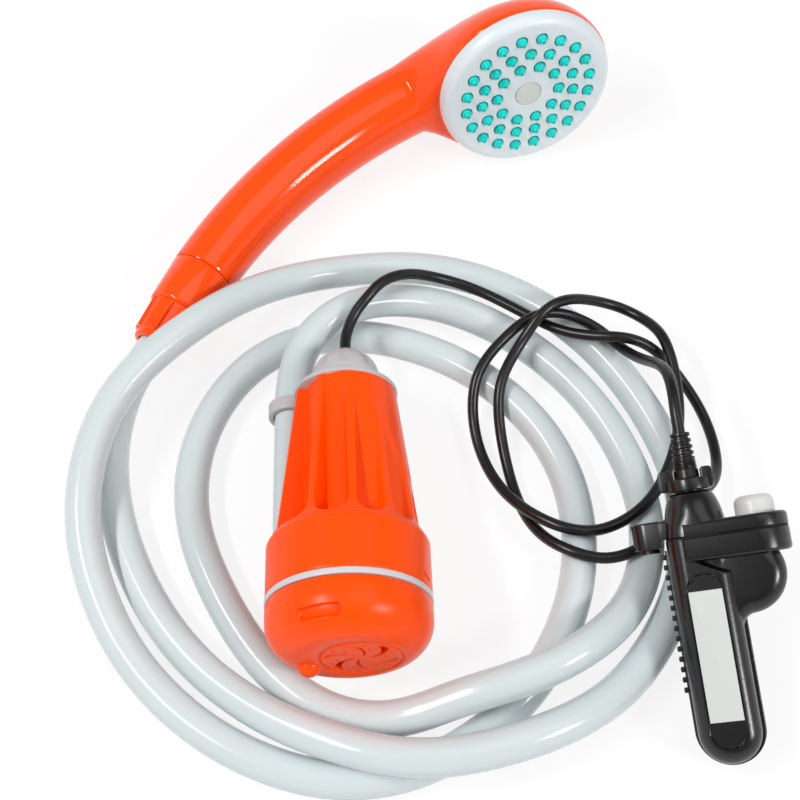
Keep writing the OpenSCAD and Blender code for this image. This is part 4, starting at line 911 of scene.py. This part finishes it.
# Winged collar of the plug, with beads on its wings' ends and on one wing's face
COLLAR_Y = 17.6
COLLAR_R = 8.5
COLLAR_IN_R = 4.35
COLLAR_TOP = COLLAR_Y + 4.4
WINGS = ((-10.6, -4.95), (4.95, 9.4))
WING_LOW = COLLAR_Y + 0.4
WING_TOP = COLLAR_Y + 8.2
WING_CORNER = 1.4
WING_HALF = 2.75
WING_EDGE = 0.6
BEAD_PITCH = 1.3
BEAD_HALF = (0.3, 0.35)
BEAD_SPAN = (COLLAR_Y + 2.0, COLLAR_Y + 6.6)
FACE_BEADS = (6.4, 7.8)
FACE_BEAD_HALF = 0.35
FACE_BEAD_DEPTHS = (2.45, 3.05)
FACE_BEAD_SPAN = (COLLAR_Y + 4.4, COLLAR_Y + 7.4)
BEAD_CORNER = 0.25
BEAD_EDGE = 0.2
shape = Shape()
shape.revolve(tube(COLLAR_IN_R, COLLAR_R, COLLAR_Y, COLLAR_TOP, edge_in=0.2, edge_low=0.4, edge_high=0.7),
              sides=96, loop=True)
for low, high in WINGS:
    wing = block(low, WING_LOW, high, WING_TOP, WING_CORNER)
    shape.prism(wing, -WING_HALF, WING_HALF, WING_EDGE, WING_EDGE, axis="y")
for k in (-1, 0, 1):
    for x in (WINGS[0][0], WINGS[1][1]):
        bead = block(x - BEAD_HALF[0], BEAD_PITCH * k - BEAD_HALF[1],
                     x + BEAD_HALF[0], BEAD_PITCH * k + BEAD_HALF[1], BEAD_CORNER, steps=3)
        shape.prism(bead, *BEAD_SPAN, BEAD_EDGE, BEAD_EDGE, steps=3)
for x in FACE_BEADS:
    bead = block(x - FACE_BEAD_HALF, FACE_BEAD_DEPTHS[0], x + FACE_BEAD_HALF, FACE_BEAD_DEPTHS[1],
                 BEAD_CORNER, steps=3)
    shape.prism(bead, *FACE_BEAD_SPAN, BEAD_EDGE, BEAD_EDGE, steps=3)
shape.piece("plug_collar_look", PLUG, "black_plastic", nodes=("plug_collar",), body="collar")

# Battery pack: front and back shells, each with its half of the switch arm and of the bulge
PACK_HALF = 11.3
PACK_DEEP = 12
PACK_EDGE = 6.5
PACK_END = -69.7
SIDE_STEPS = [0, -4, *np.arange(-7.5, -21, -0.35), -30, -40, -50, -60, -65]
EDGE_STEPS = 14
SHELL_INSETS = [PACK_EDGE * (1 - math.cos(math.pi / 2 * k / EDGE_STEPS)) for k in range(9)]
SHELL_INSETS += [*np.arange(3.2, 6.4, 0.14), 6.5, 7.5, 8.5, 9.5, 10.4, 11.0, 11.25]
SEAM_RINGS = ((3, 0.06), (0.3, 0.06), (0, 0.36))
SEAM_GAP = 0.03
ARM_REACH = 33
ARM_HALF = 12
ARM_ROOT = -4
ARM_FLATS = (ARM_ROOT, 4, 12)
ARM_LOW = -8.5
ARM_SEAM_Y = -0.05
ARM_EDGE = 1.6
ARM_SEAM_EDGE = 0.25
POCKET_HALF = 6.5
POCKET_TOP = -13
POCKET_LOW = -75
POCKET_DEEP = 1.0
POCKET_EDGE = 0.4
WEDGE_FROM = -3
WEDGE_REACH = 8.7
WEDGE_DROP = 4.3
WEDGE_MOST = 1.2
WEDGE_DEEP = 2.4
WEDGE_EDGE = 1.8
WEDGE_FADE_FROM = -3.5
WEDGE_FADE = 4
BEHIND_ARM = 0.4
BULGE_AT = (15, -15)
BULGE_R = 14.5
BULGE_DEEP = 9
BULGE_EDGE = 6.2
BULGE_SEAM_EDGE = 0.2
FILLET_R = 5.0
FILLET_DEEP = BULGE_DEEP - 0.05
FILLET_ROOT_X = 2
FILLET_TOP_Y = -20


def low_end(half, steps):
    """Round lower end of the pack, from right to left."""
    return [(half * math.cos(a), PACK_END + half * math.sin(a)) for a in np.linspace(0, -math.pi, steps)]


def body_outline(inset):
    """Body seen from the front: straight sides, round end, flat top."""
    half = PACK_HALF - inset
    right = [(half, y) for y in SIDE_STEPS]
    left = [(-half, y) for y in reversed(SIDE_STEPS)]
    return right + low_end(half, steps=48) + left


def arm_outline(inset):
    """Switch arm seen along the body: flat sides, round end."""
    radius = ARM_HALF - inset
    round_end = [(ARM_REACH - ARM_HALF + radius * math.cos(a), radius * math.sin(a))
                 for a in np.linspace(-math.pi / 2, math.pi / 2, num=33)]
    return [(x, -radius) for x in ARM_FLATS] + round_end + [(x, radius) for x in reversed(ARM_FLATS)]


def half_arm(side):
    """Arm's outline kept to one side of the shells' seam."""
    def kept(inset):
        return [(u, max(v, SEAM_GAP) if side > 0 else min(v, -SEAM_GAP)) for u, v in arm_outline(inset)]
    return kept


def fillet_outline(inset):
    """Hollow corner where the bulge meets the body's side."""
    along = PACK_HALF + FILLET_R - BULGE_AT[0]
    drop = math.sqrt((BULGE_R + FILLET_R) ** 2 - along ** 2)
    centre = (PACK_HALF + FILLET_R, BULGE_AT[1] - drop)
    top = math.atan2(drop, -along)
    arc = [(centre[0] + (FILLET_R + inset) * math.cos(a), centre[1] + (FILLET_R + inset) * math.sin(a))
           for a in np.linspace(math.pi, top, num=17)]
    return [(FILLET_ROOT_X, arc[0][1])] + arc + [(BULGE_AT[0], FILLET_TOP_Y), (FILLET_ROOT_X, FILLET_TOP_Y)]


def pocket_depth(x, y):
    """How far inside the pocket for the plate a point of the front is, below zero outside it."""
    off = max(y - POCKET_TOP + POCKET_HALF, POCKET_LOW + POCKET_HALF - y, 0)
    return POCKET_HALF - math.hypot(x, off)


def arm_recess(x, y):
    """How far the front is sunk under the switch arm: a wedge that widens from the middle to the right."""
    low = ARM_LOW - WEDGE_DROP * min(max((x - WEDGE_FROM) / WEDGE_REACH, 0), WEDGE_MOST)
    wedge = WEDGE_DEEP * float(ease((y - low) / WEDGE_EDGE)) * float(ease((x - WEDGE_FADE_FROM) / WEDGE_FADE))
    behind_arm = BEHIND_ARM if x > ARM_ROOT and y > ARM_LOW else 0
    return max(wedge, behind_arm)


def shell(side):
    """Half of the pack's case; the pocket for the plate is sunk in the front one."""
    rings = [[(x, y, side * z) for x, y in body_outline(inset)] for inset, z in SEAM_RINGS]
    for inset in SHELL_INSETS:
        lean = max(PACK_EDGE - inset, 0)
        face = PACK_DEEP - PACK_EDGE + math.sqrt(PACK_EDGE ** 2 - lean ** 2)
        ring = []
        for x, y in body_outline(inset):
            sunk = float(ease(pocket_depth(x, y) / POCKET_EDGE + 0.5)) if side > 0 else 0
            recess = arm_recess(x, y) if side > 0 else 0
            ring.append((x, y, side * (face - recess + (PACK_DEEP - POCKET_DEEP - face) * sunk)))
        rings.append(ring)
    half = Shape()
    half.skin(rings)

    def bulge(outline, deep):
        if side > 0:
            half.prism(outline, SEAM_GAP, deep, BULGE_SEAM_EDGE, BULGE_EDGE, steps=10)
        else:
            half.prism(outline, -deep, -SEAM_GAP, BULGE_EDGE, BULGE_SEAM_EDGE, steps=10)

    bulge(fillet_outline, FILLET_DEEP)
    half.prism(half_arm(side), ARM_LOW, ARM_SEAM_Y, ARM_EDGE, ARM_SEAM_EDGE, axis="y")
    bulge(circle(BULGE_R, BULGE_AT, sides=96), BULGE_DEEP)
    return half


shell(1).piece("pack_front_look", PACK, "black_plastic", nodes=("pack_front",))

# Rim and grip teeth of the back shell
EDGE_RIM_OUT = 1.4
EDGE_RIM_LEVELS = (-2.2, -0.1)
EDGE_RIM_ROUND = 0.5
EDGE_RIM_RIGHT = (-29.5, -45)
EDGE_RIM_LEFT = (-45, -3)
TOOTH_COUNT = 14
TOOTH_PITCH = 3.75
TOOTH_TOP = -6.5
TOOTH_H = 2
TOOTH_SPAN = (-14.0, -11.9)
TOOTH_CORNER = 0.5
TOOTH_LEVELS = (-2.2, 0)
TOOTH_EDGES = (0.3, 0.5)


def rim_outline(inset):
    """Rim seen from the front: down the right side, round the end and up the left side."""
    half = PACK_HALF + EDGE_RIM_OUT - inset
    return [(half, y) for y in EDGE_RIM_RIGHT] + low_end(half, steps=40) + [(-half, y) for y in EDGE_RIM_LEFT]


shape = shell(-1)
shape.prism(rim_outline, *EDGE_RIM_LEVELS, EDGE_RIM_ROUND, EDGE_RIM_ROUND, steps=4)
for k in range(TOOTH_COUNT):
    y = TOOTH_TOP - TOOTH_PITCH * k
    tooth = block(TOOTH_SPAN[0], y, TOOTH_SPAN[1], y + TOOTH_H, TOOTH_CORNER, steps=4)
    shape.prism(tooth, *TOOTH_LEVELS, *TOOTH_EDGES, steps=4)
shape.piece("pack_back_look", PACK, "black_plastic", nodes=("pack_back",))

# Cap of the pack: bell-shaped dome, upper arm and ear
SEAL = 0.8
BELL_TOP = 17
BELL_HALF = PACK_HALF - 0.05
BELL_NECK = 7.5
BELL_ROWS = 44
BELL_SIDES = 112
BELL_ROUND = 0.93
BELL_SQUARE = 3.2
BELL_SQUARE_FALL = 1.2
BELL_SQUARE_TO = 0.6
BELL_EDGES = {0: 0.25, BELL_ROWS: 0.4}
ARM_TOP = 5.8
EAR_AT = -18
EAR_R = 5.5
EAR_ROOT = -13.1
EAR_LEVELS = (-2, 8)
EAR_EDGES = (0.5, 0.9)
BRIDGE = block(-13.6, -5.3, -8, 5.3, 0.6)
BRIDGE_LEVELS = (0.9, 7.7)
BRIDGE_EDGES = (0.3, 0.8)


def bell_ring(k):
    """Ring of the dome: a rounded square at its foot that turns round towards the neck."""
    t = k / BELL_ROWS
    shrink = (1 - math.sqrt(1 - (BELL_ROUND * t) ** 2)) / (1 - math.sqrt(1 - BELL_ROUND ** 2))
    edge = BELL_EDGES.get(k, 0)
    wide = BELL_HALF + (BELL_NECK - PACK_HALF) * shrink - edge
    deep = PACK_DEEP + (BELL_NECK - PACK_DEEP) * shrink - edge
    power = 2 / (BELL_SQUARE - BELL_SQUARE_FALL * float(ease(t / BELL_SQUARE_TO)))
    ring = []
    for a in around(BELL_SIDES):
        c, s = math.cos(a), math.sin(a)
        ring.append((wide * math.copysign(abs(c) ** power, c), SEAL + (BELL_TOP - SEAL) * t,
                     deep * math.copysign(abs(s) ** power, s)))
    return ring


def ear_outline(inset):
    """Ear seen along the body: round end, flat root."""
    radius = EAR_R - inset
    round_end = [(EAR_AT + radius * math.cos(a), radius * math.sin(a))
                 for a in np.linspace(math.pi / 2, 3 * math.pi / 2, num=25)]
    return round_end + [(EAR_ROOT, -radius), (EAR_ROOT, radius)]


shape = Shape()
shape.skin([bell_ring(k) for k in range(BELL_ROWS + 1)])
shape.prism(arm_outline, SEAL, ARM_TOP, ARM_SEAM_EDGE, ARM_EDGE, axis="y")
shape.prism(ear_outline, *EAR_LEVELS, *EAR_EDGES, axis="y")
shape.prism(BRIDGE, *BRIDGE_LEVELS, *BRIDGE_EDGES, axis="y")
shape.piece("pack_cap_look", PACK, "black_plastic", nodes=("pack_cap",))

# Plate on the front
LABEL = block(-6, -65.5, 6, -19, 0.15, steps=4)
LABEL_LEVELS = (PACK_DEEP - 1, PACK_DEEP - 0.4)
LABEL_EDGES = (0.05, 0.1)
shape = Shape()
shape.prism(LABEL, *LABEL_LEVELS, *LABEL_EDGES, steps=3)
shape.piece("label_plate_look", PACK, "label", nodes=("label_plate",))

# Push button, with the flange that holds it in the arm
BUTTON_X = 22
BUTTON_PROFILE = [(0, 3.4, 0), (8.2, 3.4, 0.3), (8.2, 4.6, 0.3), (7.2, 4.6, 0), (7.1, 12.6, 3), (0, 12.8, 0)]
BUTTON = PACK @ Matrix.Translation((BUTTON_X, 0, 0)) @ Matrix.Rotation(-math.pi / 2, 4, "X")
shape = Shape()
shape.revolve(rounded(BUTTON_PROFILE, steps=8), sides=96)
shape.piece("power_button_look", BUTTON, "white_plastic", nodes=("power_button",), body="button")

# Construction pieces that show as they are
NODE_SLOTS = {
    "filter_screen": "pale_plastic", "volute_plate": "pale_plastic", "impeller": "white_plastic",
    "motor_shaft": "steel", "shaft_seal": "black_rubber", "motor_can": "steel", "motor_magnets": "magnet",
    "armature": "brass", "motor_bushes": "brass", "motor_brushes": "magnet",
    "motor_end_bell": "white_plastic", "cap_o_ring": "black_rubber",
    "outlet_spout": "orange_satin", "face_seal": "black_rubber",
    "face_screw": "steel", "hose_tail": "white_plastic", "tail_washer": "black_rubber",
    "plug_body": "black_plastic", "plug_contacts": "brass", "pack_seal": "grey_rubber",
    "switch_block": "black_plastic", "battery_cell": "cell_wrap", "cell_contacts": "steel",
    "circuit_board": "board", "charge_jack": "steel", "port_cover": "black_rubber", "case_screws": "steel",
    "power_socket": "black_plastic"}
for name, slot in NODE_SLOTS.items():
    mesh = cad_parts[name].data
    mesh.materials.clear()
    mesh.materials.append(FINISHES[slot])

FLOOR = 6.0
BACKDROP = 7.5
BACKDROP_H = 3.5
CORNERS = ((-1, -1), (1, -1), (1, 1), (-1, 1))
floor_data = bpy.data.meshes.new("floor")
floor_verts = [(FLOOR * x, FLOOR * y, 0) for x, y in CORNERS]
floor_verts += [(BACKDROP * x, BACKDROP * y, BACKDROP_H) for x, y in CORNERS]
floor_faces = [(0, 1, 2, 3)] + [(k, k + 4, (k + 1) % 4 + 4, (k + 1) % 4) for k in range(4)]
floor_data.from_pydata(floor_verts, [], floor_faces)
floor_finish = finish_of("floor", colour=(250, 250, 250), shade=(248, 248, 248), rough=0.9, shine=0.0)
floor_data.materials.append(floor_finish)
floor = bpy.data.objects.new("floor", floor_data)
scene.collection.objects.link(floor)

# The camera and mirrors see the floor mostly as plain white, with a light shadow
FLOOR_WHITE = 0.85
tree = floor_finish.node_tree
white = tree.nodes.new("ShaderNodeEmission")
path = tree.nodes.new("ShaderNodeLightPath")
seen = tree.nodes.new("ShaderNodeMath")
seen.operation = "MAXIMUM"
shown = tree.nodes.new("ShaderNodeMath")
shown.operation = "MAXIMUM"
share = tree.nodes.new("ShaderNodeMath")
share.operation = "MULTIPLY"
share.inputs[1].default_value = FLOOR_WHITE
both = tree.nodes.new("ShaderNodeMixShader")
tree.links.new(path.outputs["Is Camera Ray"], seen.inputs[0])
tree.links.new(path.outputs["Is Glossy Ray"], seen.inputs[1])
tree.links.new(seen.outputs["Value"], shown.inputs[0])
tree.links.new(path.outputs["Is Transmission Ray"], shown.inputs[1])
tree.links.new(shown.outputs["Value"], share.inputs[0])
tree.links.new(share.outputs["Value"], both.inputs["Fac"])
tree.links.new(tree.nodes["Principled BSDF"].outputs["BSDF"], both.inputs[1])
tree.links.new(white.outputs["Emission"], both.inputs[2])
tree.links.new(both.outputs["Shader"], tree.nodes["Material Output"].inputs["Surface"])


# Lamps and world
def soft_light(name, at, aim, size, power):
    """Soft box at a point, turned to another."""
    data = bpy.data.lights.new(name, "AREA")
    data.shape = "RECTANGLE"
    data.size, data.size_y = size
    data.energy = power
    lamp = bpy.data.objects.new(name, data)
    lamp.location = at
    lamp.rotation_euler = (Vector(aim) - Vector(at)).to_track_quat("-Z", "Y").to_euler()
    scene.collection.objects.link(lamp)


soft_light("left", at=(-0.75, -0.2, 1.12), aim=(0, -0.05, 0), size=(0.7, 0.1), power=11.5)
soft_light("right", at=(0.94, -0.6, 0.9), aim=(0, -0.05, 0), size=(0.34, 0.3), power=8)
soft_light("top", at=(0.45, 0.1, 1.4), aim=(0, 0, 0), size=(1.0, 1.0), power=3.5)

WORLD_LEVEL = 0.3
world = bpy.data.worlds.new("world")
scene.world = world
world.use_nodes = True
background = world.node_tree.nodes["Background"]
background.inputs["Color"].default_value = (1, 1, 1, 1)
background.inputs["Strength"].default_value = WORLD_LEVEL

scene.view_settings.view_transform = "Standard"
